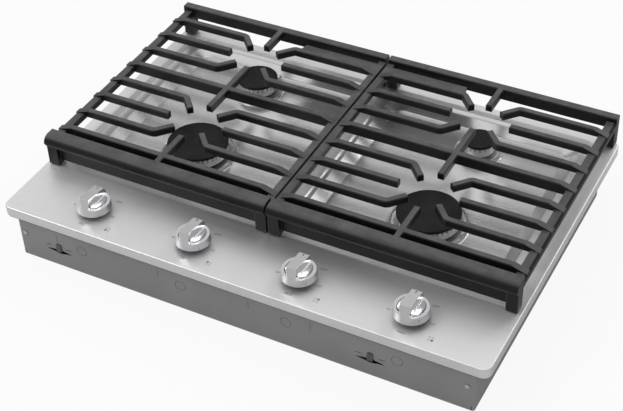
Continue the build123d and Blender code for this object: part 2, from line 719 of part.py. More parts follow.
# Manifold pipe: a run along the front, a bend and a run back to the inlet, on two feet
INLET_HEX_Y = BOX_REAR_Y - SHEET - INLET_HEX_LENGTH
with BuildPart() as manifold_pipe:
    with BuildLine() as pipe_path:
        FilletPolyline(
            (-PIPE_LEFT_X, PIPE_Y, PIPE_Z),
            (PIPE_RIGHT_X, PIPE_Y, PIPE_Z),
            (PIPE_RIGHT_X, INLET_HEX_Y, PIPE_Z),
            radius=PIPE_BEND_R,
        )
    with BuildSketch(Plane(origin=(-PIPE_LEFT_X, PIPE_Y, PIPE_Z), z_dir=(1, 0, 0))):
        Circle(PIPE_R)
    sweep(path=pipe_path.line)
    for x in FOOT_XS:
        with Locations((x, PIPE_Y, SHEET + FOOT_PLATE / 2)):
            Box(FOOT_WIDTH, FOOT_DEPTH, FOOT_PLATE)
        with Locations((x, PIPE_Y, (SHEET + PIPE_Z) / 2)):
            Box(FOOT_WIDTH, FOOT_WEB, PIPE_Z - SHEET)
        with Locations((x, PIPE_Y + FOOT_SCREW_Y, SHEET)):
            Cylinder(FLOOR_SCREW_R, DRILL, mode=Mode.SUBTRACT)
    with BuildSketch(Plane(origin=(-PIPE_LEFT_X, PIPE_Y, PIPE_Z), z_dir=(1, 0, 0))):
        Circle(PIPE_R - PIPE_WALL)
    sweep(path=pipe_path.line, mode=Mode.SUBTRACT)
    with Locations((-PIPE_LEFT_X + PIPE_WALL / 2, PIPE_Y, PIPE_Z)):
        Cylinder(PIPE_R, PIPE_WALL, rotation=(0, 90, 0))
    for x in KNOBS.values():
        with Locations((x, PIPE_Y - PIPE_R, PIPE_Z)):
            Cylinder(NIPPLE_R, 2 * NIPPLE_IN_PIPE, rotation=(90, 0, 0), mode=Mode.SUBTRACT)
save(manifold_pipe, "manifold_pipe")

# Gas inlet: a hexagon inside the rear wall, a neck through it, a relief and a threaded end
inlet_wall = Plane(origin=(PIPE_RIGHT_X, BOX_REAR_Y, PIPE_Z), z_dir=(0, 1, 0))
with BuildPart() as gas_inlet_fitting:
    with BuildSketch(inlet_wall.offset(-SHEET - INLET_HEX_LENGTH)):
        RegularPolygon(INLET_HEX / 2, 6, major_radius=False)
    extrude(amount=INLET_HEX_LENGTH)
    with BuildSketch(inlet_wall.offset(-SHEET)):
        Circle(INLET_NECK_R)
    extrude(amount=SHEET)
    with BuildSketch(inlet_wall):
        Circle(INLET_RELIEF_R)
    extrude(amount=INLET_RELIEF)
    with BuildSketch(inlet_wall.offset(INLET_RELIEF)):
        Circle(INLET_R)
    extrude(amount=INLET_THREAD)
    with BuildSketch(inlet_wall.offset(-SHEET - INLET_HEX_LENGTH)):
        Circle(INLET_BORE_R)
    extrude(amount=INLET_HEX_LENGTH + SHEET + INLET_RELIEF + INLET_THREAD, mode=Mode.SUBTRACT)
save(gas_inlet_fitting, "gas_inlet_fitting")

# Heights of the burner bases, from which the gas tubes take theirs
SEAT_Z = TOP_Z + HEAD_FLANGE_ABOVE_TOP
LIP_Z = FLOOR_Z + RING_LIP_RISE
BASE_Z = LIP_Z - SHEET
CUP_Z = BASE_Z - BASE_CUP_DEPTH
BLOCK_Z = CUP_Z - BASE_CUP_FLOOR
TUBE_Z = CUP_Z - TUBE_BELOW_CUP

# Valves, stems, thrust washers, knobs and bezels
CAVITY_TOP = VALVE_TOP - CAVITY_ROOF
SHOULDER_Z = CAVITY_TOP - SHOULDER_THICKNESS
BORE_BOTTOM = VALVE_TOP - VALVE_BORE_DEPTH
STEM_BOTTOM = BORE_BOTTOM + PUSH + STEM_END_GAP
STEM_TOP = KNOB_Z + STEM_TOP_IN_KNOB
KNOB_TAPER = math.degrees(math.atan((KNOB_R - KNOB_TOP_R) / KNOB_HEIGHT))
KNOB_TOP_RISE = KNOB_R * math.tan(math.radians(KNOB_TOP_TILT))


def stem_section():
    # Round shaft with one flat on its rear side.
    Circle(STEM_R)
    with Locations((0, STEM_FLAT + STEM_R)):
        Rectangle(4 * STEM_R, 2 * STEM_R, mode=Mode.SUBTRACT)


bezels = []
for number, x in KNOBS.items():
    with BuildPart() as valve_body:
        with Locations((x, KNOB_Y, VALVE_TOP - VALVE_HEIGHT / 2)):
            Box(VALVE_WIDTH, VALVE_DEPTH, VALVE_HEIGHT)
        fillet(valve_body.edges().filter_by(Axis.Z), VALVE_EDGE_R)
        with Locations((x, VALVE_REAR_Y, PIPE_Z)):
            reach = NIPPLE_LENGTH + NIPPLE_IN_PIPE
            seat = (Align.CENTER, Align.CENTER, Align.MIN)
            Cylinder(NIPPLE_R, reach, rotation=(-90, 0, 0), align=seat)
        with Locations((x, KNOB_Y, CAVITY_TOP - CAVITY_HEIGHT / 2)):
            Cylinder(CAVITY_R, CAVITY_HEIGHT, mode=Mode.SUBTRACT)
        with Locations((x, KNOB_Y, VALVE_TOP - VALVE_BORE_DEPTH / 2)):
            Cylinder(STEM_R + FIT_GAP, VALVE_BORE_DEPTH, mode=Mode.SUBTRACT)
        with Locations((x, VALVE_REAR_Y, TUBE_Z)):
            Cylinder(TUBE_R, 2 * TUBE_SEAT, rotation=(90, 0, 0), mode=Mode.SUBTRACT)
    save(valve_body, f"valve_body_{number}")

    with BuildPart() as valve_stem:
        with BuildSketch(Plane.XY.offset(STEM_BOTTOM)):
            with Locations((x, KNOB_Y)):
                Circle(STEM_R)
        extrude(amount=STEM_TOP - STEM_FLAT_LENGTH - STEM_BOTTOM)
        with BuildSketch(Plane(origin=(x, KNOB_Y, STEM_TOP - STEM_FLAT_LENGTH))):
            stem_section()
        extrude(amount=STEM_FLAT_LENGTH)
        with Locations((x, KNOB_Y, SHOULDER_Z + SHOULDER_THICKNESS / 2)):
            Cylinder(SHOULDER_R, SHOULDER_THICKNESS)
    save(valve_stem, f"valve_stem_{number}")

    with BuildPart() as thrust_washer:
        with Locations((x, KNOB_Y, SHOULDER_Z - WASHER_THICKNESS / 2)):
            Cylinder(CAVITY_R - LOOSE_GAP, WASHER_THICKNESS)
            Cylinder(STEM_R + FIT_GAP, WASHER_THICKNESS, mode=Mode.SUBTRACT)
    save(thrust_washer, f"thrust_washer_{number}")

    with BuildPart() as bezel:
        with Locations((x, KNOB_Y, TOP_Z + BEZEL_HEIGHT / 2)):
            Cylinder(BEZEL_R, BEZEL_HEIGHT)
        fillet(bezel.faces().sort_by(Axis.Z)[-1].edges(), BEZEL_EDGE_R)
        with Locations((x, KNOB_Y, TOP_Z + BEZEL_HEIGHT / 2)):
            Cylinder(BEZEL_BORE_R, BEZEL_HEIGHT, mode=Mode.SUBTRACT)
    bezels.append(bezel.part)

    scoops = []
    for side in (-1, 1):
        scoop_z = KNOB_Z + SHELF_HEIGHT + SCOOP_R - SCOOP_DEPTH
        grip_side = (x + side * GRIP_WIDTH / 2, KNOB_Y, KNOB_Z)
        with BuildPart() as scoop:
            with Locations((x + side * SCOOP_X, KNOB_Y, scoop_z)):
                Sphere(SCOOP_R)
            split(bisect_by=Plane(origin=grip_side, z_dir=(side, 0, 0)))
        scoops.append(scoop.part)

    with BuildPart() as knob:
        with BuildSketch(Plane(origin=(x, KNOB_Y, KNOB_Z))):
            Circle(KNOB_R)
        extrude(amount=KNOB_HEIGHT + KNOB_TOP_RISE, taper=KNOB_TAPER)
        fillet(knob.faces().sort_by(Axis.Z)[0].edges(), KNOB_EDGE_R)
        # the top slopes down towards the rear
        knob_top = Plane(origin=(x, KNOB_Y, KNOB_Z + KNOB_HEIGHT)).rotated((-KNOB_TOP_TILT, 0, 0))
        split(bisect_by=knob_top, keep=Keep.BOTTOM)
        fillet(knob.faces().sort_by(Axis.Z)[-1].edges(), KNOB_EDGE_R)
        # two shelves beside the grip, each with a scoop
        with BuildSketch(Plane(origin=(x, KNOB_Y, KNOB_Z + SHELF_HEIGHT))):
            for side in (-1, 1):
                with Locations((side * (GRIP_WIDTH / 2 + KNOB_R), 0)):
                    Rectangle(2 * KNOB_R, 4 * KNOB_R)
        extrude(amount=2 * KNOB_HEIGHT, mode=Mode.SUBTRACT)
        for scoop in scoops:
            add(scoop, mode=Mode.SUBTRACT)
        # pointer groove near the rear end of the grip
        with BuildSketch(knob_top):
            with Locations((0, POINTER_Y)):
                Rectangle(POINTER_WIDTH, POINTER_LENGTH)
        extrude(amount=-POINTER_DEPTH, mode=Mode.SUBTRACT)
        # hollow underside over the bezel, and the bore for the stem
        with BuildSketch(Plane(origin=(x, KNOB_Y, KNOB_Z))):
            Circle(KNOB_R - KNOB_WALL)
        extrude(amount=KNOB_CAVITY, mode=Mode.SUBTRACT)
        with BuildSketch(Plane(origin=(x, KNOB_Y, KNOB_Z))):
            stem_section()
        extrude(amount=STEM_TOP_IN_KNOB, mode=Mode.SUBTRACT)
    save(knob, f"knob_{number}")

with BuildPart() as knob_bezels:
    for piece in bezels:
        add(piece)
save(knob_bezels, "knob_bezels")

# Ignition switches, one on the front of each valve
with BuildPart() as ignition_switches:
    switch_y = KNOB_Y - (VALVE_DEPTH + SWITCH_DEPTH) / 2
    with Locations(*[(x, switch_y, VALVE_TOP - SWITCH_HEIGHT / 2) for x in KNOBS.values()]):
        Box(SWITCH_WIDTH, SWITCH_DEPTH, SWITCH_HEIGHT)
save(ignition_switches, "ignition_switches")

# Burners: base, head, cap, electrode and gas tube for each
HEAD_TOP = TOP_Z + HEAD_TOP_ABOVE_TOP
WALL_Z = SEAT_Z + HEAD_FLANGE_THICKNESS
CERAMIC_BOTTOM = BASE_Z - BASE_THICKNESS - CERAMIC_BELOW_BASE
TERMINAL_Z = CERAMIC_BOTTOM - TERMINAL_LENGTH
TUBE_BORE_R = TUBE_R - TUBE_WALL
for burner, (x, y) in BURNERS.items():
    cap_r = CAP_RADII[burner]
    ex, ey = electrode_place(burner)
    cup_r = MIXER_R + LOOSE_GAP
    with BuildPart() as burner_base:
        turned(
            x,
            y,
            [
                (cup_r, SEAT_Z),
                (BASE_SEAT_R, SEAT_Z),
                (BASE_SEAT_R, BASE_Z),
                (cap_r + BASE_OUT, BASE_Z),
                (cap_r + BASE_OUT, BASE_Z - BASE_THICKNESS),
                (BASE_HUB_R, BASE_Z - BASE_THICKNESS),
                (BASE_HUB_R, BLOCK_Z),
                (BASE_BLOCK_R, BLOCK_Z),
                (BASE_BLOCK_R, BLOCK_Z - BASE_BLOCK_HEIGHT),
                (0, BLOCK_Z - BASE_BLOCK_HEIGHT),
                (0, TUBE_Z - TUBE_BORE_R),
                (JET_R, TUBE_Z - TUBE_BORE_R),
                (JET_R, CUP_Z),
                (cup_r, CUP_Z),
            ],
        )
        with Locations((x, y - BASE_BLOCK_R, TUBE_Z)):
            Cylinder(TUBE_R, 2 * TUBE_SEAT, rotation=(90, 0, 0), mode=Mode.SUBTRACT)
        with Locations((x, y - BASE_BLOCK_R / 2, TUBE_Z)):
            Cylinder(TUBE_BORE_R, BASE_BLOCK_R, rotation=(90, 0, 0), mode=Mode.SUBTRACT)
        flange_z = BASE_Z - BASE_THICKNESS / 2
        with Locations((ex, ey, flange_z)):
            Cylinder(CERAMIC_R, DRILL, mode=Mode.SUBTRACT)
        with Locations(*[(sx, sy, flange_z) for sx, sy in base_screw_places(burner)]):
            Cylinder(BASE_SCREW_R, DRILL, mode=Mode.SUBTRACT)
    save(burner_base, f"burner_base_{burner}")

    wall_r = cap_r - HEAD_WALL_INSET
    chamber_r = wall_r - HEAD_WALL
    port_count = round(2 * math.pi * wall_r / PORT_PITCH)
    with BuildPart() as burner_head:
        turned(
            x,
            y,
            [
                (MIXER_BORE_R, SEAT_Z - MIXER_LENGTH),
                (MIXER_R, SEAT_Z - MIXER_LENGTH),
                (MIXER_R, SEAT_Z),
                (cap_r - HEAD_FLANGE_INSET, SEAT_Z),
                (cap_r - HEAD_FLANGE_INSET, WALL_Z),
                (wall_r, WALL_Z),
                (wall_r, HEAD_TOP),
                (chamber_r, HEAD_TOP),
                (chamber_r, WALL_Z + HEAD_FLOOR),
                (MIXER_BORE_R, WALL_Z + HEAD_FLOOR),
            ],
        )
        with Locations((x, y, TOP_Z + PORT_ABOVE_TOP)):
            with PolarLocations(wall_r - HEAD_WALL / 2, port_count):
                Box(2 * HEAD_WALL, PORT_WIDTH, PORT_HEIGHT, mode=Mode.SUBTRACT)
    save(burner_head, f"burner_head_{burner}")

    with BuildPart() as burner_cap:
        with BuildSketch(Plane(origin=(x, y, HEAD_TOP))):
            Circle(cap_r)
        extrude(amount=CAP_THICKNESS)
        fillet(burner_cap.faces().sort_by(Axis.Z)[-1].edges(), CAP_EDGE_R)
        with BuildSketch(Plane(origin=(x, y, HEAD_TOP))):
            Circle(chamber_r - LOOSE_GAP)
            Circle(chamber_r - LOOSE_GAP - CAP_SPIGOT_WALL, mode=Mode.SUBTRACT)
        extrude(amount=-CAP_SPIGOT)
    save(burner_cap, f"burner_cap_{burner}")

    start_x = KNOBS[KNOB_OF[burner]]
    end_y = y - BASE_BLOCK_R + TUBE_SEAT
    turn_y = end_y - TUBE_TURN_BEFORE
    start = (start_x, VALVE_REAR_Y - TUBE_SEAT, TUBE_Z)
    with BuildPart() as gas_tube:
        with BuildLine() as tube_path:
            FilletPolyline(
                start,
                (start_x, turn_y - abs(x - start_x), TUBE_Z),
                (x, turn_y, TUBE_Z),
                (x, end_y, TUBE_Z),
                radius=TUBE_BEND_R,
            )
        with BuildSketch(Plane(origin=start, z_dir=(0, 1, 0))):
            Circle(TUBE_R)
            Circle(TUBE_BORE_R, mode=Mode.SUBTRACT)
        sweep(path=tube_path.line)
    save(gas_tube, f"gas_tube_{burner}")

# Spark electrodes, clamped between the bases and the steel top
CERAMIC_TOP = TOP_Z + CERAMIC_ABOVE_TOP
with BuildPart() as electrodes:
    for burner in BURNERS:
        ex, ey = electrode_place(burner)
        turned(
            ex,
            ey,
            [
                (0, TERMINAL_Z),
                (PIN_R, TERMINAL_Z),
                (PIN_R, CERAMIC_BOTTOM),
                (CERAMIC_R, CERAMIC_BOTTOM),
                (CERAMIC_R, BASE_Z),
                (CERAMIC_COLLAR_R, BASE_Z),
                (CERAMIC_COLLAR_R, BASE_Z + CERAMIC_COLLAR),
                (CERAMIC_R, BASE_Z + CERAMIC_COLLAR),
                (CERAMIC_R, CERAMIC_TOP),
                (PIN_R, CERAMIC_TOP),
                (PIN_R, CERAMIC_TOP + PIN_LENGTH),
                (0, CERAMIC_TOP + PIN_LENGTH),
            ],
        )
save(electrodes, "electrodes")

# Jets in the floors of the base cups
with BuildPart() as jets:
    for x, y in BURNERS.values():
        with BuildSketch(Plane(origin=(x, y, CUP_Z))):
            RegularPolygon(JET_HEX_R, 6)
        extrude(amount=JET_HEX_HEIGHT)
        with BuildSketch(Plane(origin=(x, y, CUP_Z))):
            Circle(JET_R)
        extrude(amount=-(JET_LENGTH - JET_HEX_HEIGHT))
        with Locations((x, y, CUP_Z)):
            Cylinder(JET_ORIFICE_R, 2 * JET_LENGTH, mode=Mode.SUBTRACT)
save(jets, "burner_jets")

# Screws that clamp the bases under the steel top
with BuildPart() as burner_screws:
    for burner in BURNERS:
        for sx, sy in base_screw_places(burner):
            seat = Plane(origin=(sx, sy, LIP_Z), z_dir=(0, 0, 1))
            screw(seat, BASE_SCREW_R, BASE_SCREW_LENGTH, BASE_SCREW_HEAD_R, BASE_SCREW_HEAD)
save(burner_screws, "burner_screws")

# Spark module on the floor of the box, with its leads
with BuildPart() as spark_module:
    with Locations((0, MODULE_Y, SHEET + MODULE_HEIGHT / 2)):
        Box(MODULE_WIDTH, MODULE_DEPTH, MODULE_HEIGHT)
    fillet(spark_module.edges().filter_by(Axis.Z), MODULE_EDGE_R)
    ear_z = SHEET + EAR_THICKNESS / 2
    with Locations((-EAR_X, MODULE_Y, ear_z), (EAR_X, MODULE_Y, ear_z)):
        Box(EAR_WIDTH, EAR_DEPTH, EAR_THICKNESS)
        Cylinder(FLOOR_SCREW_R, EAR_THICKNESS, mode=Mode.SUBTRACT)
save(spark_module, "spark_module")

with BuildPart() as spark_leads:
    for burner, (x, y) in BURNERS.items():
        ex, ey = electrode_place(burner)
        side = math.copysign(1, x)
        lead_y = MODULE_Y + (LEAD_PITCH if y == REAR_Y else -LEAD_PITCH)
        start = (side * MODULE_WIDTH / 2, lead_y, LEAD_HEIGHT)
        with BuildLine() as lead_path:
            FilletPolyline(
                start,
                (ex, lead_y, LEAD_HEIGHT),
                (ex, ey, LEAD_HEIGHT),
                (ex, ey, TERMINAL_Z),
                radius=LEAD_BEND_R,
            )
        with BuildSketch(Plane(origin=start, z_dir=(side, 0, 0))):
            Circle(LEAD_R)
        sweep(path=lead_path.line)
save(spark_leads, "spark_leads")

# Cable gland in the rear wall
gland_wall = Plane(origin=(GLAND_X, BOX_REAR_Y, GLAND_ABOVE_UNDERSIDE), z_dir=(0, 1, 0))
with BuildPart() as cable_gland:
    with BuildSketch(gland_wall.offset(-SHEET - GLAND_LENGTH / 2)):
        Circle(GLAND_R)
    extrude(amount=SHEET + GLAND_LENGTH)
    with BuildSketch(gland_wall):
        Circle(GLAND_FLANGE_R)
    extrude(amount=GLAND_FLANGE)
    with BuildSketch(gland_wall.offset(-SHEET - GLAND_LENGTH / 2)):
        Circle(GLAND_BORE_R)
    extrude(amount=SHEET + GLAND_LENGTH, mode=Mode.SUBTRACT)
save(cable_gland, "cable_gland")

# Screws through the floor of the box
with BuildPart() as floor_screws:
    for x, y in FLOOR_SCREWS:
        seat_z = SHEET + (EAR_THICKNESS if y == MODULE_Y else FOOT_PLATE)
        seat = Plane(origin=(x, y, seat_z), z_dir=(0, 0, 1))
        screw(seat, FLOOR_SCREW_R, seat_z, FLOOR_SCREW_HEAD_R, FLOOR_SCREW_HEAD)
save(floor_screws, "floor_screws")

# Grates: fingers and beams first, then rails, web and legs
BEAM_Y = (FRONT_Y + REAR_Y) / 2
FRONT_BEAM_Y = FRONT_Y - 2 * BAR_PITCH
BAR_IN = GRATE_IN + BAR_END_INSET
BAR_OUT = GRATE_OUT - BAR_END_INSET
REAR_RAIL_Y = GRATE_REAR_Y - REAR_RAIL


def bar(points, depth):
    # A cast bar along a line in plan, with its upper edges broken.
    with BuildPart() as cast_bar:
        with BuildSketch(Plane.XY.offset(GRATE_TOP)):
            with BuildLine():
                if len(points) > 2:
                    FilletPolyline(*points, radius=BEND_R)
                else:
                    Line(*points)
            trace(line_width=BAR_WIDTH)
        extrude(amount=-depth)
        chamfer(cast_bar.faces().sort_by(Axis.Z)[-1].edges(), BAR_EDGE)
    return cast_bar.part


bars = []
for row_y in (FRONT_Y, REAR_Y):
    bars.append(bar([(BAR_IN, row_y), (BURNER_X - FINGER_TIP, row_y)], BAR_DEPTH))
    bars.append(bar([(BAR_OUT, row_y), (BURNER_X + FINGER_TIP, row_y)], BAR_DEPTH))
    for side in (-1, 1):
        bent_y = row_y + side * BAR_PITCH
        tip_y = row_y + side * BAR_PITCH / 2
        for end_x, toward in ((BAR_IN, -1), (BAR_OUT, 1)):
            bend = (BURNER_X + toward * BEND_DX, bent_y)
            tip = (BURNER_X + toward * BENT_TIP, tip_y)
            bars.append(bar([(end_x, bent_y), bend, tip], BAR_DEPTH))
for beam_y in (FRONT_BEAM_Y, BEAM_Y):
    bars.append(bar([(BAR_IN, beam_y), (BAR_OUT, beam_y)], BEAM_DEPTH))
spokes = (
    (REAR_RAIL_Y + REAR_RAIL / 2, REAR_Y + REAR_SPOKE_TIP),
    (REAR_Y - BEAM_REAR_SPOKE_TIP, FRONT_Y + BEAM_FRONT_SPOKE_TIP),
    (FRONT_Y - FRONT_SPOKE_TIP, GRATE_FRONT_Y + FRONT_RAIL - FRONT_RAIL_TOP / 2),
)
for spoke_rear, spoke_front in spokes:
    bars.append(bar([(BURNER_X, spoke_rear), (BURNER_X, spoke_front)], BAR_DEPTH))

with BuildPart() as right_grate:
    for cast_bar in bars:
        add(cast_bar)
    # the bars run down to the side rails
    rail_z = TOP_Z + RAIL_TOP
    slope = (GRATE_HEIGHT - RAIL_TOP) / END_SLOPE_LENGTH
    with BuildSketch(Plane.XZ.offset(-GRATE_FRONT_Y)):
        for end_x, inward in ((GRATE_OUT, -1), (GRATE_IN, 1)):
            with BuildLine():
                Polyline(
                    (end_x + inward * END_SLOPE_LENGTH, GRATE_TOP),
                    (end_x - inward * LEG, rail_z - LEG * slope),
                    (end_x - inward * LEG, GRATE_TOP + LEG),
                    (end_x + inward * END_SLOPE_LENGTH, GRATE_TOP + LEG),
                    close=True,
                )
            make_face()
    extrude(amount=-TOP_DEPTH, mode=Mode.SUBTRACT)
    # side rails
    with BuildSketch(Plane.XZ.offset(-GRATE_FRONT_Y - SKIRT_SETBACK)):
        with BuildLine():
            Polyline(
                (GRATE_OUT - OUTER_RAIL, TOP_Z + RAIL_BOTTOM),
                (GRATE_OUT, TOP_Z + RAIL_BOTTOM),
                (GRATE_OUT, rail_z - RAIL_CHAMFER),
                (GRATE_OUT - RAIL_CHAMFER, rail_z),
                (GRATE_OUT - OUTER_RAIL, rail_z),
                close=True,
            )
        make_face()
        with Locations((GRATE_IN + INNER_RAIL / 2, TOP_Z + (RAIL_TOP + RAIL_BOTTOM) / 2)):
            Rectangle(INNER_RAIL, RAIL_TOP - RAIL_BOTTOM)
    extrude(amount=-(GRATE_REAR_Y - GRATE_FRONT_Y - SKIRT_SETBACK - REAR_RAIL / 2))
    # front rail with a rounded nose over a set-back skirt
    with BuildSketch(Plane.YZ.offset(GRATE_IN)):
        with BuildLine():
            nose_start = (GRATE_FRONT_Y + FRONT_RAIL - FRONT_RAIL_TOP, GRATE_TOP)
            nose_end = (GRATE_FRONT_Y, TOP_Z + NOSE_HEIGHT)
            nose_mid = (GRATE_FRONT_Y + NOSE_MID_BACK, GRATE_TOP - NOSE_MID_DOWN)
            ThreePointArc(nose_start, nose_mid, nose_end)
            Polyline(
                nose_end,
                (GRATE_FRONT_Y + NOSE_UNDERCUT, TOP_Z + NOSE_UNDER),
                (GRATE_FRONT_Y + SKIRT_SETBACK, TOP_Z + NOSE_UNDER),
                (GRATE_FRONT_Y + SKIRT_SETBACK, TOP_Z + SKIRT_BOTTOM),
                (GRATE_FRONT_Y + SKIRT_SETBACK + SKIRT_THICKNESS, TOP_Z + SKIRT_BOTTOM),
                (GRATE_FRONT_Y + SKIRT_SETBACK + SKIRT_THICKNESS, TOP_Z + NOSE_UNDER),
                (GRATE_FRONT_Y + FRONT_RAIL, TOP_Z + NOSE_UNDER),
                (GRATE_FRONT_Y + FRONT_RAIL, GRATE_TOP),
                nose_start,
            )
        make_face()
    extrude(amount=GRATE_OUT - GRATE_IN)
    # rear rail
    with BuildSketch(Plane.YZ.offset(GRATE_IN)):
        with BuildLine():
            Polyline(
                (REAR_RAIL_Y, TOP_Z + RAIL_BOTTOM),
                (GRATE_REAR_Y, TOP_Z + RAIL_BOTTOM),
                (GRATE_REAR_Y, GRATE_TOP - BAR_EDGE),
                (GRATE_REAR_Y - BAR_EDGE, GRATE_TOP),
                (REAR_RAIL_Y + BAR_EDGE, GRATE_TOP),
                (REAR_RAIL_Y, GRATE_TOP - BAR_EDGE),
                close=True,
            )
        make_face()
    extrude(amount=GRATE_OUT - GRATE_IN)
    # flat web behind the inner half of the rearmost bar
    web_front = REAR_Y + BAR_PITCH
    web_rear = REAR_RAIL_Y - REAR_RAIL / 2
    with BuildSketch(Plane.XY.offset(rail_z)):
        with BuildLine():
            Polyline(
                (GRATE_IN, web_front),
                (GRATE_IN + WEB_LENGTH, web_front),
                (GRATE_IN + WEB_LENGTH - WEB_SLANT, web_rear),
                (GRATE_IN, web_rear),
                close=True,
            )
        make_face()
    extrude(amount=-WEB_THICKNESS)
    # legs with holes for the pegs of the rubber feet
    leg_front_y = GRATE_FRONT_Y + LEG_FRONT_SETBACK + LEG / 2
    leg_rear_y = GRATE_REAR_Y - LEG / 2
    leg_xs = (GRATE_IN + LEG / 2, GRATE_OUT - LEG / 2)
    leg_places = [(x, y, TOP_Z + PAD_HEIGHT) for x in leg_xs for y in (leg_front_y, leg_rear_y)]
    with Locations(*leg_places):
        Box(LEG, LEG, LEG_HEIGHT, align=(Align.CENTER, Align.CENTER, Align.MIN))
        Cylinder(PAD_PEG_R, 2 * PAD_PEG, mode=Mode.SUBTRACT)
save(right_grate, "right_grate")

with BuildPart() as left_grate:
    mirror(right_grate.part, about=Plane.YZ)
save(left_grate, "left_grate")

with BuildPart() as right_grate_feet:
    with Locations(*[(x, y, TOP_Z) for x in leg_xs for y in (leg_front_y, leg_rear_y)]):
        Cylinder(PAD_R, PAD_HEIGHT, align=(Align.CENTER, Align.CENTER, Align.MIN))
        Cylinder(PAD_PEG_R, PAD_HEIGHT + PAD_PEG, align=(Align.CENTER, Align.CENTER, Align.MIN))
save(right_grate_feet, "right_grate_feet")

with BuildPart() as left_grate_feet:
    mirror(right_grate_feet.part, about=Plane.YZ)
save(left_grate_feet, "left_grate_feet")
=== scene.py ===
# %% [markdown]
# # A gas cooktop, dressed over its solid model
# The solid model gives every piece its size and place. This file adds what a solid model lacks:
# soft bends in the pressed steel, finger scoops in the knobs, printed dial marks, and finishes
# that show grain, casting skin and wear. Each step first says what the real piece is, how it could
# be made, and why it is made this way here. All sizes are in metres.

# %% Load the solid model
import math

import json

import bmesh
import bpy
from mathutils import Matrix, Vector


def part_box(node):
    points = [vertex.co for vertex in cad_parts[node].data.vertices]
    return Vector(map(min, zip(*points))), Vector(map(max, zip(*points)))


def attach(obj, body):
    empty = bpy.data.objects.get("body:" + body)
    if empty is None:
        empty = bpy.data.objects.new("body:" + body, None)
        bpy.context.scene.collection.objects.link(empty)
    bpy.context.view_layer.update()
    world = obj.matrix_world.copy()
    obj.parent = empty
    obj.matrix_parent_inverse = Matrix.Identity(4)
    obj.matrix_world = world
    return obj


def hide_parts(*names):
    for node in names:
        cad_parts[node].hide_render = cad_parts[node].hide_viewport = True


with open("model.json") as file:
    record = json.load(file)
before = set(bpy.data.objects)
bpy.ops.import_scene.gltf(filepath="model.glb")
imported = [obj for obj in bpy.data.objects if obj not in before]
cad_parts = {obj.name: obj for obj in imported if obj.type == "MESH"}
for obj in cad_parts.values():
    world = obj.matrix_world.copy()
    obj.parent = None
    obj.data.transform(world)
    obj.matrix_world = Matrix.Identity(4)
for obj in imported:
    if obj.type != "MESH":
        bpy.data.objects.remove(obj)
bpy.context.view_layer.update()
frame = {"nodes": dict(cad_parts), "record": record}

# %% [markdown]
# ## The camera
# The photograph was taken from the front right, about 40 degrees above the worktop. Its straight
# edges were used to work out where the camera stood and how long its lens was, so those numbers
# are simply written down. The picture is 623 by 411, and no shift is needed.

# %% Camera
camera_data = bpy.data.cameras.new("camera")
camera_data.sensor_width = 36.0
camera_data.lens = 82.07
camera_data.clip_end = 100.0
camera = bpy.data.objects.new("camera", camera_data)
camera.location = (0.78991, -1.43863, 1.40646)
camera.rotation_euler = [math.radians(a) for a in (49.92478, 1.82504, 27.55313)]
bpy.context.collection.objects.link(camera)
bpy.context.scene.camera = camera
print("camera stands at", tuple(camera.location))

# %% [markdown]
# ## Tools for shaders
# The floor, the sky and every finish are small networks of nodes. Adding a node by hand means
# picking its kind, typing its values and dragging links to it, and one helper does all three: a
# value that is itself a socket becomes a link. The others do sums, mix two tones along a mask,
# stretch a mask to a range, and start a material with its shader.

# %% Helpers for nodes
ALL = (0.0, 1.0)
WHITE = (1.0, 1.0, 1.0)


def give(tree, socket, value):
    # Joins an output to an input socket, or sets the input's plain value.
    if isinstance(value, bpy.types.NodeSocket):
        tree.links.new(value, socket)
    else:
        socket.default_value = value


def add_node(tree, kind, *terms, **values):
    # Terms go to the node's inputs in order, values to its properties or inputs by name.
    node = tree.nodes.new(kind)
    for key, value in values.items():
        if hasattr(node, key):
            setattr(node, key, value)
        else:
            give(tree, node.inputs[key.replace("_", " ")], value)
    for socket, term in zip(node.inputs, terms):
        give(tree, socket, term)
    return node


def maths(tree, operation, *terms, use_clamp=False):
    node = add_node(tree, "ShaderNodeMath", *terms, operation=operation, use_clamp=use_clamp)
    return node.outputs[0]


def two_tones(tree, mask, first, second):
    # A colour that moves from the first tone to the second along a mask.
    a, b = (t if isinstance(t, bpy.types.NodeSocket) else (*t, 1.0) for t in (first, second))
    mix = add_node(tree, "ShaderNodeMix", data_type="RGBA", Factor=mask, A=a, B=b)
    return mix.outputs["Result"]


def stretched(tree, mask, to, span=ALL):
    # Stretches a mask from its span to another range.
    ends = {"From_Min": span[0], "From_Max": span[1], "To_Min": to[0], "To_Max": to[1]}
    return add_node(tree, "ShaderNodeMapRange", Value=mask, **ends).outputs["Result"]


def new_finish(name, metallic, roughness, colour):
    # A material with its shader, whose plain values are set on the shader itself.
    finish = bpy.data.materials.new(name)
    finish.use_nodes = True
    shader = finish.node_tree.nodes["Principled BSDF"]
    shader.inputs["Metallic"].default_value = metallic
    shader.inputs["Roughness"].default_value = roughness
    shader.inputs["Base Color"].default_value = (*colour, 1.0)
    finish.diffuse_color = (*colour, 1.0)
    return finish, finish.node_tree, shader


print("node helpers ready")

# %% [markdown]
# ## The studio
# The cooktop stands on a pale floor under soft light. A metal shows what is around it, so the
# sky is pale overhead, and near the horizon it is bright in front and dark at both sides, like a
# lit wall between two black ones. That gives the knobs their upright bands and keeps the right
# side of the box dark. Rays from the camera see plain white, and the floor keeps a soft shadow.

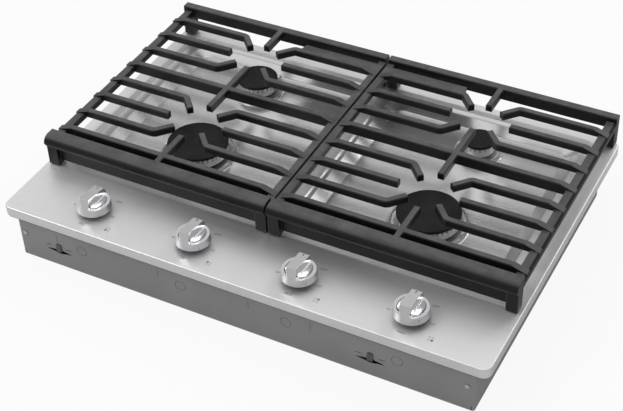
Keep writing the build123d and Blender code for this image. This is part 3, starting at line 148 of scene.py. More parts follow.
# %% Floor
FLOOR_GAP = 0.0005
bpy.ops.object.select_all(action="DESELECT")
bpy.ops.mesh.primitive_plane_add(size=30.0, location=(0.0, 0.0, -FLOOR_GAP))
floor = bpy.context.object
floor.name = "floor"
floor_paint, tree, shader = new_finish("floor_paint", 0.0, 0.9, (0.6, 0.6, 0.6))
white_glow = add_node(tree, "ShaderNodeEmission", Color=(*WHITE, 1.0))
camera_ray = add_node(tree, "ShaderNodeLightPath").outputs["Is Camera Ray"]
glow_share = maths(tree, "MULTIPLY", camera_ray, 0.9)
lit_and_glowing = (shader.outputs[0], white_glow.outputs[0])
glow_mix = add_node(tree, "ShaderNodeMixShader", glow_share, *lit_and_glowing)
give(tree, tree.nodes["Material Output"].inputs["Surface"], glow_mix.outputs[0])
floor.data.materials.append(floor_paint)
print("floor laid, nodes in its paint:", len(tree.nodes))

# %% Sky
world = bpy.data.worlds.new("studio_sky")
bpy.context.scene.world = world
world.use_nodes = True
tree = world.node_tree
direction = add_node(tree, "ShaderNodeTexCoord").outputs["Generated"]
parts = add_node(tree, "ShaderNodeSeparateXYZ", direction).outputs
how_high = add_node(
    tree, "ShaderNodeMapRange", interpolation_type="SMOOTHSTEP", Value=parts["Z"], From_Max=0.62
).outputs["Result"]
sideways = stretched(tree, parts["X"], ALL, (-1.0, 1.0))
walls = add_node(tree, "ShaderNodeValToRGB", sideways)
ramp = walls.color_ramp.elements
ramp[0].position, ramp[0].color = 0.12, (0.07, 0.07, 0.075, 1.0)
ramp[1].position, ramp[1].color = 0.90, (0.06, 0.06, 0.065, 1.0)
ramp.new(0.52).color = (0.22, 0.22, 0.23, 1.0)
gradient = two_tones(tree, how_high, walls.outputs["Color"], (0.88, 0.88, 0.88))
camera_ray = add_node(tree, "ShaderNodeLightPath").outputs["Is Camera Ray"]
white_or_sky = two_tones(tree, camera_ray, gradient, WHITE)
give(tree, tree.nodes["Background"].inputs["Color"], white_or_sky)
print("sky with", len(tree.nodes), "nodes")

# %% Lamps


def soft_lamp(name, place, target, size, power):
    # A square lamp that faces its target.
    data = bpy.data.lights.new(name, "AREA")
    data.size = size
    data.energy = power
    lamp = bpy.data.objects.new(name, data)
    lamp.location = place
    lamp.rotation_euler = (Vector(target) - Vector(place)).to_track_quat("-Z", "Y").to_euler()
    bpy.context.collection.objects.link(lamp)


soft_lamp("key_lamp", (-1.5, -1.0, 2.2), (0.0, 0.0, 0.0), 1.2, 26.0)
soft_lamp("rim_lamp", (1.2, 1.9, 1.6), (0.0, 0.0, 0.05), 1.0, 14.0)
bpy.context.scene.view_settings.view_transform = "Standard"

# %% [markdown]
# ## Effects that finishes share
# A finish is a shader with a few small effects in front of it. The effects that several finishes
# share are node groups: they are built once, and each material places one with its own values.

# %% Helpers for a group
FLOAT, VECTOR = "NodeSocketFloat", "NodeSocketVector"


def new_group(name, inputs, outputs):
    # A shader group. Its inputs are given with starting values, its outputs with their kinds.
    tree = bpy.data.node_groups.new(name, "ShaderNodeTree")
    sockets = tree.interface
    for title, start in inputs.items():
        kind = VECTOR if isinstance(start, tuple) else FLOAT
        sockets.new_socket(name=title, in_out="INPUT", socket_type=kind).default_value = start
    for title, kind in outputs.items():
        sockets.new_socket(name=title, in_out="OUTPUT", socket_type=kind)
    return tree, tree.nodes.new("NodeGroupInput").outputs, tree.nodes.new("NodeGroupOutput").inputs


def object_place(tree):
    # The place on the piece in metres, which stays with the piece when it moves.
    return add_node(tree, "ShaderNodeTexCoord").outputs["Object"]


def true_normal(tree):
    return add_node(tree, "ShaderNodeNewGeometry").outputs["Normal"]


def noise(tree, scale, **settings):
    node = add_node(tree, "ShaderNodeTexNoise", Scale=scale, **settings)
    if not node.inputs["Vector"].is_linked:
        give(tree, node.inputs["Vector"], object_place(tree))
    return node.outputs["Fac"]


print("group helpers ready")

# %% [markdown]
# ## Edge wear
# On real metal and enamel, hands and cloths reach the corners first, so the corners end up
# brighter or barer. The Bevel node rounds the normal near a corner, and the difference between
# that and the true normal is a mask of the corners. A noise breaks the mask up, so that the wear
# is uneven.

# %% Edge wear group
edge_wear, given, result = new_group(
    "edge_wear",
    {"Reach": 0.001, "Gain": 6.0, "Patch Scale": 60.0, "Patchiness": 0.6},
    {"Mask": FLOAT, "Normal": VECTOR},
)
tree = edge_wear
rounded = add_node(tree, "ShaderNodeBevel", samples=4, Radius=given["Reach"]).outputs["Normal"]
both = (rounded, true_normal(tree))
agreement = add_node(tree, "ShaderNodeVectorMath", *both, operation="DOT_PRODUCT")
difference = maths(tree, "SUBTRACT", 1.0, agreement.outputs["Value"])
stronger = maths(tree, "MULTIPLY", difference, given["Gain"], use_clamp=True)
patches = noise(tree, given["Patch Scale"], Detail=3.0)
patch_floor = maths(tree, "SUBTRACT", 1.0, given["Patchiness"])
patch_share = stretched(tree, patches, (patch_floor, 1.0), (0.35, 0.65))
broken = maths(tree, "MULTIPLY", stronger, patch_share, use_clamp=True)
give(tree, result["Mask"], broken)
give(tree, result["Normal"], rounded)
print("edge wear group with", len(tree.nodes), "nodes")

# %% [markdown]
# ## Brushed grain
# Sheet steel for cooktops is rolled and brushed in one direction, here from left to right. The
# grain is a noise that is stretched along that direction. It gives a mask of fine lines for the
# colour and the gloss, and a faint relief. The same group, with its long direction turned, gives
# the lathe lines on a stem.

# %% Brushed grain group
brushed_grain, given, result = new_group(
    "brushed_grain",
    {"Stretch": (8.0, 900.0, 900.0), "Depth": 0.1},
    {"Lines": FLOAT, "Normal": VECTOR},
)
tree = brushed_grain
drawn = add_node(tree, "ShaderNodeMapping", Vector=object_place(tree), Scale=given["Stretch"])
lines = noise(tree, 1.0, Vector=drawn.outputs[0], Detail=4.0, Roughness=0.7)
relief = add_node(tree, "ShaderNodeBump", Distance=0.0002, Height=lines, Strength=given["Depth"])
give(tree, result["Lines"], lines)
give(tree, result["Normal"], relief.outputs["Normal"])
print("brushed grain group with", len(tree.nodes), "nodes")

# %% [markdown]
# ## Smudges
# Even a clean cooktop has faint wipe marks and finger prints, which show as slow changes of
# gloss. One large noise that is bent by its own distortion gives them a smeared look. The group
# puts out a mask only, and each finish decides how far its gloss follows it.

# %% Smudge group
smudges, given, result = new_group("smudges", {"Scale": 9.0, "Contrast": 1.0}, {"Mask": FLOAT})
tree = smudges
smear = noise(tree, given["Scale"], Detail=5.0, Roughness=0.6, Distortion=1.4)
spread = stretched(tree, smear, (0.0, given["Contrast"]), (0.35, 0.7))
give(tree, result["Mask"], spread)
print("smudge group with", len(tree.nodes), "nodes")

# %% [markdown]
# ## Casting skin
# Iron and die-cast metal copy the sand or the mould, so their skin is finely grained with a few
# pits. A fine noise makes the grain and a cell pattern makes the pits. Together they are a height
# that a Bump node turns into a normal, and the grain alone is a speckle that varies the colour.

# %% Casting skin group
cast_skin, given, result = new_group(
    "cast_skin",
    {"Grain Scale": 900.0, "Depth": 0.3, "Normal": (0.0, 0.0, 0.0)},
    {"Speckle": FLOAT, "Normal": VECTOR},
)
tree = cast_skin
sand = noise(tree, given["Grain Scale"], Detail=5.0, Roughness=0.65)
pit_scale = maths(tree, "MULTIPLY", given["Grain Scale"], 0.45)
pits = add_node(tree, "ShaderNodeTexVoronoi", Vector=object_place(tree), Scale=pit_scale)
pit_mask = stretched(tree, pits.outputs["Distance"], ALL, (0.0, 0.22))
relief = add_node(
    tree,
    "ShaderNodeBump",
    Distance=0.00025,
    Height=maths(tree, "MULTIPLY", sand, pit_mask),
    Strength=given["Depth"],
    Normal=given["Normal"],
)
give(tree, result["Speckle"], sand)
give(tree, result["Normal"], relief.outputs["Normal"])
print("casting skin group with", len(tree.nodes), "nodes")

# %% [markdown]
# ## Dust
# Dust settles on level faces that look up, and slides off the steeper ones. The mask is the
# upward part of the normal above a limit, broken up by a noise. It is used on the black iron and
# on the moulded pieces.

# %% Dust group
dust, given, result = new_group("dust", {"Amount": 0.2, "Scale": 40.0}, {"Mask": FLOAT})
tree = dust
upward = add_node(tree, "ShaderNodeSeparateXYZ", true_normal(tree)).outputs["Z"]
level_share = stretched(tree, upward, ALL, (0.72, 1.0))
drift = noise(tree, given["Scale"], Detail=6.0, Roughness=0.7)
settled = maths(tree, "MULTIPLY", level_share, drift, use_clamp=True)
give(tree, result["Mask"], maths(tree, "MULTIPLY", settled, given["Amount"], use_clamp=True))
print("dust group with", len(tree.nodes), "nodes")

# %% [markdown]
# ## Building a finish
# Every finish below is the same small recipe: a base colour that moves between two tones along a
# mask, a roughness that follows another mask, and a normal. The helpers place a group in a
# material, darken or lighten a tone, and feed the shader at the end.

# %% Helpers for a finish
NOISE_SPAN = (0.3, 0.7)


def place_group(tree, group, **values):
    return add_node(tree, "ShaderNodeGroup", node_tree=group, **values).outputs


def shade(tone, share, lift=0.0, most=0.97):
    # A darker or lighter tone of a colour, never brighter than the most.
    return tuple(min(most, part * share + lift) for part in tone)


def worn_skin(tree, grain_scale, depth, **wear_values):
    # Edge wear, whose rounded normal carries a casting skin.
    wear = place_group(tree, edge_wear, **wear_values)
    under = {"Grain_Scale": grain_scale, "Depth": depth, "Normal": wear["Normal"]}
    skin = place_group(tree, cast_skin, **under)
    return wear["Mask"], skin["Speckle"], skin["Normal"]


finishes = {}


def feed(slot, finish, **sources):
    # Joins colour, roughness and so on to the shader, and files the finish under its slot.
    shader = finish.node_tree.nodes["Principled BSDF"]
    for title, source in sources.items():
        give(finish.node_tree, shader.inputs[title.replace("_", " ")], source)
    finishes[slot] = finish
    print("finish", finish.name)


# %% [markdown]
# ## Brushed steel of the top
# The top is stainless sheet with a satin brush finish. It is nearly as bright as its
# surroundings, its gloss is smeared along the grain, and it has faint wipe marks. The press has
# burnished the drawn wells, so below the flat the sheet is glossier, and mirrors the grates.

# %% Brushed steel top
BURNISHED_BELOW, DULL_ABOVE = 0.0840, 0.0876
finish, tree, shader = new_finish("brushed_steel_top", 0.85, 0.46, (0.74, 0.74, 0.75))
shader.inputs["Anisotropic"].default_value = 0.5
grain = place_group(tree, brushed_grain, Stretch=(9.0, 1100.0, 1100.0), Depth=0.10)
lines = grain["Lines"]
marks = place_group(tree, smudges, Scale=7.0, Contrast=1.0)["Mask"]
brushed = two_tones(tree, lines, (0.66, 0.66, 0.67), (0.79, 0.79, 0.795))
wiped = two_tones(tree, stretched(tree, marks, (0.0, 0.25)), brushed, (0.60, 0.60, 0.60))
level = add_node(tree, "ShaderNodeSeparateXYZ", object_place(tree)).outputs["Z"]
burnished = stretched(tree, level, (0.5, 1.0), (BURNISHED_BELOW, DULL_ABOVE))
in_lines = stretched(tree, lines, (0.41, 0.51), NOISE_SPAN)
in_marks = stretched(tree, marks, (0.0, 0.06))
rough = maths(tree, "MULTIPLY", maths(tree, "ADD", in_lines, in_marks), burnished)
feed("brushed_steel_top", finish, Base_Color=wiped, Roughness=rough, Normal=grain["Normal"])

# %% [markdown]
# ## Cast iron of the grates
# The grates are grey iron under a satin black enamel. The enamel keeps the sand grain of the
# casting, thins on the corners of the bars, where the light catches it, and holds a little dust
# on top. The rounded normal from the edge wear group also softens the sharp corners that the
# solid model has.

# %% Cast iron
finish, tree, shader = new_finish("cast_iron_enamel", 0.0, 0.42, (0.03, 0.03, 0.031))
shader.inputs["Specular IOR Level"].default_value = 0.25
worn, speckle, normal = worn_skin(
    tree, 1100.0, 0.35, Reach=0.0016, Gain=4.0, Patch_Scale=45.0, Patchiness=0.5
)
film = place_group(tree, dust, Amount=0.85, Scale=28.0)["Mask"]
grained = two_tones(tree, speckle, (0.002, 0.002, 0.0022), (0.008, 0.008, 0.0082))
thinned = two_tones(tree, worn, grained, (0.14, 0.14, 0.14))
dusty = two_tones(tree, film, thinned, (0.16, 0.16, 0.16))
rough = stretched(tree, speckle, (0.34, 0.56), NOISE_SPAN)
feed("cast_iron", finish, Base_Color=dusty, Roughness=rough, Normal=normal)

# %% [markdown]
# ## Black enamel of the caps
# The burner caps carry a matte black enamel with a very fine orange peel. Heat leaves a faint
# grey bloom, and the rim is a little worn from being lifted off for cleaning.

# %% Cap enamel
finish, tree, shader = new_finish("cap_enamel", 0.0, 0.5, (0.02, 0.02, 0.02))
shader.inputs["Specular IOR Level"].default_value = 0.15
rim_wear = {"Reach": 0.0010, "Gain": 5.0, "Patch_Scale": 90.0, "Patchiness": 0.7}
worn, _, normal = worn_skin(tree, 1600.0, 0.10, **rim_wear)
bloom = place_group(tree, smudges, Scale=22.0, Contrast=1.0)["Mask"]
bloomed = two_tones(tree, bloom, (0.008, 0.008, 0.009), (0.017, 0.017, 0.018))
rubbed = two_tones(tree, worn, bloomed, (0.10, 0.10, 0.10))
rough = stretched(tree, bloom, (0.44, 0.58))
feed("cap_enamel", finish, Base_Color=rubbed, Roughness=rough, Normal=normal)

# %% [markdown]
# ## Bare metals
# Brushed, cast and turned metals differ only in tone, gloss, grain direction and wear, so two
# makers turn out all of them: one for brushed and turned metal, such as the knobs' satin chrome,
# the tubes, the stems and the screws, and one for cast metal, such as the burner heads and the
# valves. The wear brightens corners, and smudges or the sand grain move the gloss.

# %% Makers for bare metals


def metal_finish(slot, name, tone, roughness, stretch, depth, gloss_spread=0.12):
    # Metal with grain, smudges and brighter corners; the grain runs where the stretch is small.
    finish, tree, _ = new_finish(name, 1.0, roughness, tone)
    grain = place_group(tree, brushed_grain, Stretch=stretch, Depth=depth)
    marks = place_group(tree, smudges, Scale=30.0, Contrast=1.0)["Mask"]
    wear = place_group(tree, edge_wear, Reach=0.0005, Gain=3.0, Patch_Scale=150.0, Patchiness=0.5)
    lined = two_tones(tree, grain["Lines"], shade(tone, 0.86), tone)
    worn = two_tones(tree, wear["Mask"], lined, shade(tone, 1.12))
    span = (roughness - gloss_spread / 2, roughness + gloss_spread / 2)
    rough = stretched(tree, marks, span)
    feed(slot, finish, Base_Color=worn, Roughness=rough, Normal=grain["Normal"])


def cast_metal_finish(slot, name, tone, roughness, grain_scale, depth):
    # Metal from a mould: sand grain, dull hollows and bright corners.
    finish, tree, _ = new_finish(name, 1.0, roughness, tone)
    mask, speckle, normal = worn_skin(
        tree, grain_scale, depth, Reach=0.0006, Gain=4.0, Patch_Scale=120.0, Patchiness=0.5
    )
    speckled = two_tones(tree, speckle, shade(tone, 0.75), tone)
    worn = two_tones(tree, mask, speckled, shade(tone, 1.2))
    rough = stretched(tree, speckle, (roughness - 0.08, roughness + 0.1), NOISE_SPAN)
    feed(slot, finish, Base_Color=worn, Roughness=rough, Normal=normal)


# %% Metals of the knobs, burners, valves, pipes and screws
ALL_WAYS = (900.0, 900.0, 900.0)
TURNED_UPRIGHT, TURNED_ACROSS = (60.0, 60.0, 2500.0), (60.0, 2500.0, 60.0)
ALONG_KNOB, ALONG_TUBE = (500.0, 500.0, 30.0), (400.0, 12.0, 400.0)
ALONG_PIPE, ALONG_SPRING = (20.0, 300.0, 300.0), (30.0, 700.0, 700.0)
metal_finish("knob_metal", "satin_chrome", (0.64, 0.64, 0.65), 0.16, ALONG_KNOB, 0.05, 0.08)
cast_metal_finish("head_aluminium", "cast_burner_head", (0.70, 0.70, 0.70), 0.38, 1500.0, 0.2)
cast_metal_finish("base_aluminium", "cast_burner_base", (0.48, 0.48, 0.48), 0.5, 1000.0, 0.4)
cast_metal_finish("valve_aluminium", "cast_valve", (0.55, 0.55, 0.56), 0.45, 1300.0, 0.3)
metal_finish("tube_aluminium", "drawn_tube", (0.78, 0.78, 0.78), 0.3, ALONG_TUBE, 0.05)
metal_finish("pipe_steel", "galvanised_pipe", (0.52, 0.53, 0.54), 0.42, ALONG_PIPE, 0.12)
metal_finish("stem_steel", "turned_stem", (0.60, 0.60, 0.60), 0.28, TURNED_UPRIGHT, 0.10)
metal_finish("brass", "turned_brass", (0.76, 0.57, 0.27), 0.3, TURNED_ACROSS, 0.10)
metal_finish("screw_zinc", "zinc_screws", (0.60, 0.60, 0.58), 0.32, ALL_WAYS, 0.08)
metal_finish("spring_steel", "oiled_spring_steel", (0.16, 0.16, 0.165), 0.35, ALONG_SPRING, 0.12)

# %% [markdown]
# ## Painted box
# The burner box is steel sheet under a satin grey coat, sprayed thinly, so it has a fine orange
# peel and small bare spots at its edges. Its folded corners catch the light.

# %% Box paint
finish, tree, shader = new_finish("box_paint", 0.35, 0.42, (0.18, 0.18, 0.185))
wear = place_group(tree, edge_wear, Reach=0.0012, Gain=3.0, Patch_Scale=70.0, Patchiness=0.7)
peel = place_group(tree, cast_skin, Grain_Scale=420.0, Depth=0.10)
marks = place_group(tree, smudges, Scale=6.0, Contrast=1.0)["Mask"]
clouded = two_tones(tree, marks, (0.26, 0.26, 0.265), (0.31, 0.31, 0.315))
faint = stretched(tree, peel["Speckle"], (0.0, 0.3))
speckled = two_tones(tree, faint, clouded, (0.19, 0.19, 0.19))
bared = two_tones(tree, wear["Mask"], speckled, (0.45, 0.45, 0.46))
rough = stretched(tree, marks, (0.36, 0.50))
feed("box_paint", finish, Base_Color=bared, Roughness=rough, Normal=peel["Normal"])

# %% [markdown]
# ## Plastics, rubber, foam and ceramic
# The rest is moulded or extruded. One more maker gives each a fine mould grain that also moves
# its gloss, slightly lighter corners and a film of dust on its upper faces. The electrode's
# ceramic is glazed and white, and only its pin is metal, which a mask of height picks out.

# %% Maker for moulded pieces


def moulded_finish(slot, name, tone, roughness, grain_scale, depth, film_amount):
    finish, tree, _ = new_finish(name, 0.0, roughness, tone)
    mask, speckle, normal = worn_skin(
        tree, grain_scale, depth, Reach=0.0006, Gain=3.0, Patch_Scale=120.0, Patchiness=0.6
    )
    film = place_group(tree, dust, Amount=film_amount, Scale=60.0)["Mask"]
    speckled = two_tones(tree, speckle, shade(tone, 0.8), tone)
    worn = two_tones(tree, mask, speckled, shade(tone, 1.25, lift=0.02, most=0.95))
    dusty = two_tones(tree, film, worn, (0.35, 0.34, 0.33))
    rough = stretched(tree, speckle, (roughness - 0.06, roughness + 0.08), NOISE_SPAN)
    feed(slot, finish, Base_Color=dusty, Roughness=rough, Normal=normal)


# %% Moulded pieces
moulded_finish("bezel_plastic", "bezel_plastic", (0.12, 0.12, 0.122), 0.45, 1500.0, 0.15, 0.1)
moulded_finish("switch_plastic", "switch_plastic", (0.05, 0.05, 0.05), 0.5, 1200.0, 0.15, 0.1)
moulded_finish("module_plastic", "module_plastic", (0.78, 0.77, 0.73), 0.45, 1100.0, 0.15, 0.1)
moulded_finish("gland_plastic", "gland_plastic", (0.03, 0.03, 0.03), 0.5, 1200.0, 0.2, 0.1)
moulded_finish("lead_rubber", "silicone_leads", (0.42, 0.06, 0.04), 0.4, 900.0, 0.1, 0.1)
moulded_finish("foot_rubber", "grate_feet_rubber", (0.02, 0.02, 0.02), 0.75, 900.0, 0.3, 0.2)
moulded_finish("seal_foam", "foam_seal", (0.04, 0.04, 0.04), 0.9, 1400.0, 0.8, 0.1)

# %% Electrodes: glazed ceramic with a steel pin
PIN_START = 0.0910
GLAZE = (0.86, 0.85, 0.80)
finish, tree, shader = new_finish("electrode_ceramic", 0.0, 0.18, GLAZE)
level = add_node(tree, "ShaderNodeSeparateXYZ", object_place(tree)).outputs["Z"]
is_pin = maths(tree, "GREATER_THAN", level, PIN_START)
glaze = place_group(tree, cast_skin, Grain_Scale=700.0, Depth=0.04)
soot = place_group(tree, smudges, Scale=160.0, Contrast=1.0)["Mask"]
sooty = two_tones(tree, stretched(tree, soot, (0.0, 0.3)), GLAZE, (0.5, 0.46, 0.4))
feed(
    "electrode_ceramic",
    finish,
    Base_Color=two_tones(tree, is_pin, sooty, (0.45, 0.44, 0.43)),
    Metallic=is_pin,
    Roughness=stretched(tree, soot, (0.14, 0.35)),
    Normal=glaze["Normal"],
)

# %% [markdown]
# ## Give every solid its finish
# The record says which slot each piece takes its finish from, so one loop dresses them all.

# %% Dress the solids
slot_of = {p["node"]: p["material_slot"] for p in frame["record"]["subparts"]}
for node, node_object in frame["nodes"].items():
    for holder in node_object.material_slots:
        holder.material = finishes[slot_of[node]]
print("dressed", len(frame["nodes"]), "solids with", len(finishes), "finishes")

# %% [markdown]
# ## The pressed steel top
# The real top is one sheet, deep-drawn in a press: a flat margin, a recess, two wells with a
# ridge between them, and a ring around each burner, all with soft bends, and a folded rim. The
# solid model has sharp bends, so the sheet is modelled again here. It could be sculpted from one
# dense grid, but flat areas of pressed steel must stay truly flat or their reflections wobble.
# So it starts as a solid block, pans are cut out of it with Booleans, the upper skin is kept, the
# bends are rounded with one Bevel, and only then does the sheet get its thickness.

# %% Sizes of the pressing
# Outlines are x0, x1, y0, y1 at the upper edge of a slope, and a run is a slope's width.
TOP, RECESS_FLOOR, FLOOR = 0.088, 0.085, 0.077
WIDTH, DEPTH, RIM_DROP, CORNER_R = 0.762, 0.524, 0.0155, 0.013
SHEET = 0.001
RECESS = (-0.359, 0.359, -0.122, 0.247)
RECESS_RUN, RECESS_FLOOR_R, RECESS_R = 0.007, 0.023, 0.030
WELL_SIDES = {"left": (-0.335, -0.016), "right": (0.016, 0.335)}
WELL_ENDS = (-0.109, 0.229)
WELL_RUN, WELL_REAR_RUN, WELL_FLOOR_R, WELL_R = 0.020, 0.0165, 0.012, 0.025
RIM_ROUND, BEND_ROUND = 0.002, 0.0024
HOLE_MARGIN = 0.014
LIP = 0.004
NEAR = 1e-5
burner_places = {}
for burner in ("front_left", "front_right", "rear_left", "rear_right"):
    low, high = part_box(f"burner_cap_{burner}")
    middle_x, middle_y = (low.x + high.x) / 2, (low.y + high.y) / 2
    burner_places[burner] = (middle_x, middle_y, (high.x - low.x) / 2)
print("burners at", {k: tuple(round(v, 4) for v in p) for k, p in burner_places.items()})

# %% Helpers for modelling


def select_only(piece):
    bpy.ops.object.select_all(action="DESELECT")
    piece.select_set(True)
    bpy.context.view_layer.objects.active = piece


def start_mesh(adder, name, **settings):
    # Adds a primitive on its own, and goes into edit mode with nothing selected.
    bpy.ops.object.select_all(action="DESELECT")
    adder(**settings)
    piece = bpy.context.object
    piece.name = name
    piece.data.name = name
    bpy.ops.object.transform_apply(location=True, rotation=True, scale=True)
    bpy.ops.object.mode_set(mode="EDIT")
    bpy.ops.mesh.select_mode(type="VERT")
    bpy.ops.mesh.select_all(action="DESELECT")
    return piece


def pick(piece, kind, chosen):
    # In edit mode, selects the vertices, edges or faces that the test picks.
    mode = {"verts": "VERT", "edges": "EDGE", "faces": "FACE"}[kind]
    bpy.ops.mesh.select_mode(type=mode)
    bpy.ops.mesh.select_all(action="DESELECT")
    shape = bmesh.from_edit_mesh(piece.data)
    count = 0
    for item in getattr(shape, kind):
        if chosen(item):
            item.select_set(True)
            count += 1
    bmesh.update_edit_mesh(piece.data)
    return count


def leave_edit(piece):
    bpy.ops.object.mode_set(mode="OBJECT")
    return piece


def close_up(reach=NEAR):
    # Welds doubled points and turns all faces outwards, in edit mode.
    bpy.ops.mesh.select_all(action="SELECT")
    bpy.ops.mesh.remove_doubles(threshold=reach)
    bpy.ops.mesh.normals_make_consistent(inside=False)


print("mesh helpers ready")

# %% [markdown]
# Modifiers are applied as soon as they are added, so the next step can work on the real mesh. A
# Boolean's cutter is thrown away after its cut.

# %% Helpers for modifiers and cuts


def apply_modifier(piece, kind, **settings):
    select_only(piece)
    modifier = piece.modifiers.new(kind.lower(), kind)
    for key, value in settings.items():
        setattr(modifier, key, value)
    bpy.ops.object.modifier_apply(modifier=modifier.name)


def cut_with(piece, cutter, operation="DIFFERENCE", folded=False):
    # Applies a Boolean. A folded piece may run through itself, which the exact solver refuses.
    solver = "FAST" if folded else "EXACT"
    apply_modifier(piece, "BOOLEAN", object=cutter, operation=operation, solver=solver)
    bpy.data.objects.remove(cutter)


def drill(piece, name, steps, radius, depth, middle, folded=False):
    drill_bit = start_mesh(
        bpy.ops.mesh.primitive_cylinder_add,
        name,
        vertices=steps,
        radius=radius,
        depth=depth,
        location=middle,
    )
    cut_with(piece, leave_edit(drill_bit), folded=folded)


def smooth_and_paint(piece, slot, degrees):
    # Smooths all but the sharper edges, keeps flat faces flat, and gives the finish.
    select_only(piece)
    bpy.ops.object.shade_smooth_by_angle(angle=math.radians(degrees))
    apply_modifier(piece, "WEIGHTED_NORMAL", keep_sharp=True)
    paint(piece, slot)


def paint(piece, slot):
    piece.data.materials.clear()
    piece.data.materials.append(finishes[slot])


print("cutting helpers ready")

# %% [markdown]
# A pan is a sloped recess with rounded corners. A tapered extrude would keep the corner radius,
# but in a pressing the radius grows with the slope. So two rounded outlines are made, each a
# plane with bevelled corners, and their edges are bridged.

# %% Helper for a pan


def pan_cutter(name, low, high, steps=10):
    # A solid between two rounded outlines, each given as (x0, x1, y0, y1), height and radius.
    cutter = None
    for (x0, x1, y0, y1), z, radius in (low, high):
        if cutter is None:
            cutter = start_mesh(bpy.ops.mesh.primitive_plane_add, name, size=1.0)
        else:
            bpy.ops.mesh.primitive_plane_add(size=1.0)
        pick(cutter, "verts", lambda v: v.co.z == 0.0)
        bpy.ops.transform.resize(value=(x1 - x0, y1 - y0, 1.0), center_override=(0.0, 0.0, 0.0))
        bpy.ops.transform.translate(value=((x0 + x1) / 2, (y0 + y1) / 2, z))
        pick(cutter, "verts", lambda v, h=z: abs(v.co.z - h) < NEAR)
        bpy.ops.mesh.bevel(offset=radius, offset_type="OFFSET", segments=steps, affect="VERTICES")
    bpy.ops.mesh.select_all(action="SELECT")
    bpy.ops.mesh.delete(type="ONLY_FACE")
    bpy.ops.mesh.select_all(action="SELECT")
    bpy.ops.mesh.bridge_edge_loops()
    for z in (low[1], high[1]):
        pick(cutter, "edges", lambda e, h=z: all(abs(v.co.z - h) < NEAR for v in e.verts))
        bpy.ops.mesh.edge_face_add()
    bpy.ops.mesh.select_all(action="SELECT")
    bpy.ops.mesh.normals_make_consistent(inside=False)
    return leave_edit(cutter)


def grown(outline, amount):
    x0, x1, y0, y1 = outline
    return (x0 - amount, x1 + amount, y0 - amount, y1 + amount)


def prolonged(low, high, share=0.5):
    # Carries a pan on upwards along its slope, so that the cutter starts above the surface.
    (low_outline, low_z, _), (outline, z, radius) = low, high
    step = (outline[1] - low_outline[1]) * share
    return low, (grown(outline, step), z + (z - low_z) * share, radius + step)


print("pan helpers ready")

# %% The block with its corners rounded
steel = start_mesh(
    bpy.ops.mesh.primitive_cube_add,
    "steel_top_sheet",
    size=1.0,
    location=(0.0, 0.0, TOP - RIM_DROP / 2),
    scale=(WIDTH, DEPTH, RIM_DROP),
)
pick(steel, "edges", lambda e: abs(e.verts[0].co.z - e.verts[1].co.z) > RIM_DROP / 2)
bpy.ops.mesh.bevel(offset=CORNER_R, segments=10, affect="EDGES")
leave_edit(steel)
print("block faces:", len(steel.data.polygons))

# %% Cut the recess and the two wells
recess_floor = (grown(RECESS, -RECESS_RUN), RECESS_FLOOR, RECESS_FLOOR_R)
low, high = prolonged(recess_floor, (RECESS, TOP, RECESS_R))
cut_with(steel, pan_cutter("recess_cutter", low, high))
for side, (x0, x1) in WELL_SIDES.items():
    y0, y1 = WELL_ENDS
    floor_outline = (x0 + WELL_RUN, x1 - WELL_RUN, y0 + WELL_RUN, y1 - WELL_REAR_RUN)
    well_floor = (floor_outline, FLOOR, WELL_FLOOR_R)
    low, high = prolonged(well_floor, ((x0, x1, y0, y1), RECESS_FLOOR, WELL_R))
    cut_with(steel, pan_cutter(f"{side}_well_cutter", low, high))
print("pans cut, faces:", len(steel.data.polygons))

# %% Raise the rib on the ridge between the wells
rib_foot = ((-0.015, 0.015, -0.083, 0.203), 0.083, 0.0149)
rib_crest = ((-0.007, 0.007, -0.075, 0.195), 0.087, 0.0069)
cut_with(steel, pan_cutter("ridge_rib", rib_foot, rib_crest), "UNION")
print("rib added, faces:", len(steel.data.polygons))

# %% [markdown]
# The holes for the burners are cut through the block as plain cylinders. The number of sides of
# each matches the number of steps of the ring that is spun later, so the two can be welded.

# %% Cut the burner holes
RING_STEPS = 96
for burner, (x, y, cap_r) in burner_places.items():
    drill(steel, f"{burner}_hole", RING_STEPS, cap_r + HOLE_MARGIN, 0.04, (x, y, FLOOR))
print("holes cut, faces:", len(steel.data.polygons))

# %% [markdown]
# Now the block's underside and the walls of the holes go, and its upper skin stays. A Boolean can
# leave a point in the middle of a straight edge of a hole, where the ring has none, so such a
# point is moved onto its nearest neighbour and merged with it.

# %% Keep the upper skin
select_only(steel)
bpy.ops.object.mode_set(mode="EDIT")


def near_a_hole(spot, margin):
    return any(
        math.hypot(spot.x - x, spot.y - y) < cap_r + margin
        for x, y, cap_r in burner_places.values()
    )


def is_below(face):
    upright = abs(face.normal.z) < 0.2
    middle = face.calc_center_median()
    return face.normal.z < -0.9 or upright and near_a_hole(middle, HOLE_MARGIN + 0.0005)


print("removed faces:", pick(steel, "faces", is_below))
bpy.ops.mesh.delete(type="FACE")
stray = pick(steel, "verts", lambda v: v.is_boundary and near_a_hole(v.co, HOLE_MARGIN - NEAR))
print("stray points:", stray)
for point in [v for v in bmesh.from_edit_mesh(steel.data).verts if v.select]:
    rim = min((e for e in point.link_edges if e.is_boundary), key=lambda e: e.calc_length())
    point.co = rim.other_vert(point).co
bpy.ops.mesh.select_all(action="SELECT")
bpy.ops.mesh.remove_doubles(threshold=NEAR)

# %% Round the rim and the bends
BEND_ANGLE = math.radians(8)


def is_rim_edge(edge):
    on_top = all(abs(v.co.z - TOP) < NEAR for v in edge.verts)
    return on_top and any(abs(f.normal.z) < 0.1 for f in edge.link_faces)


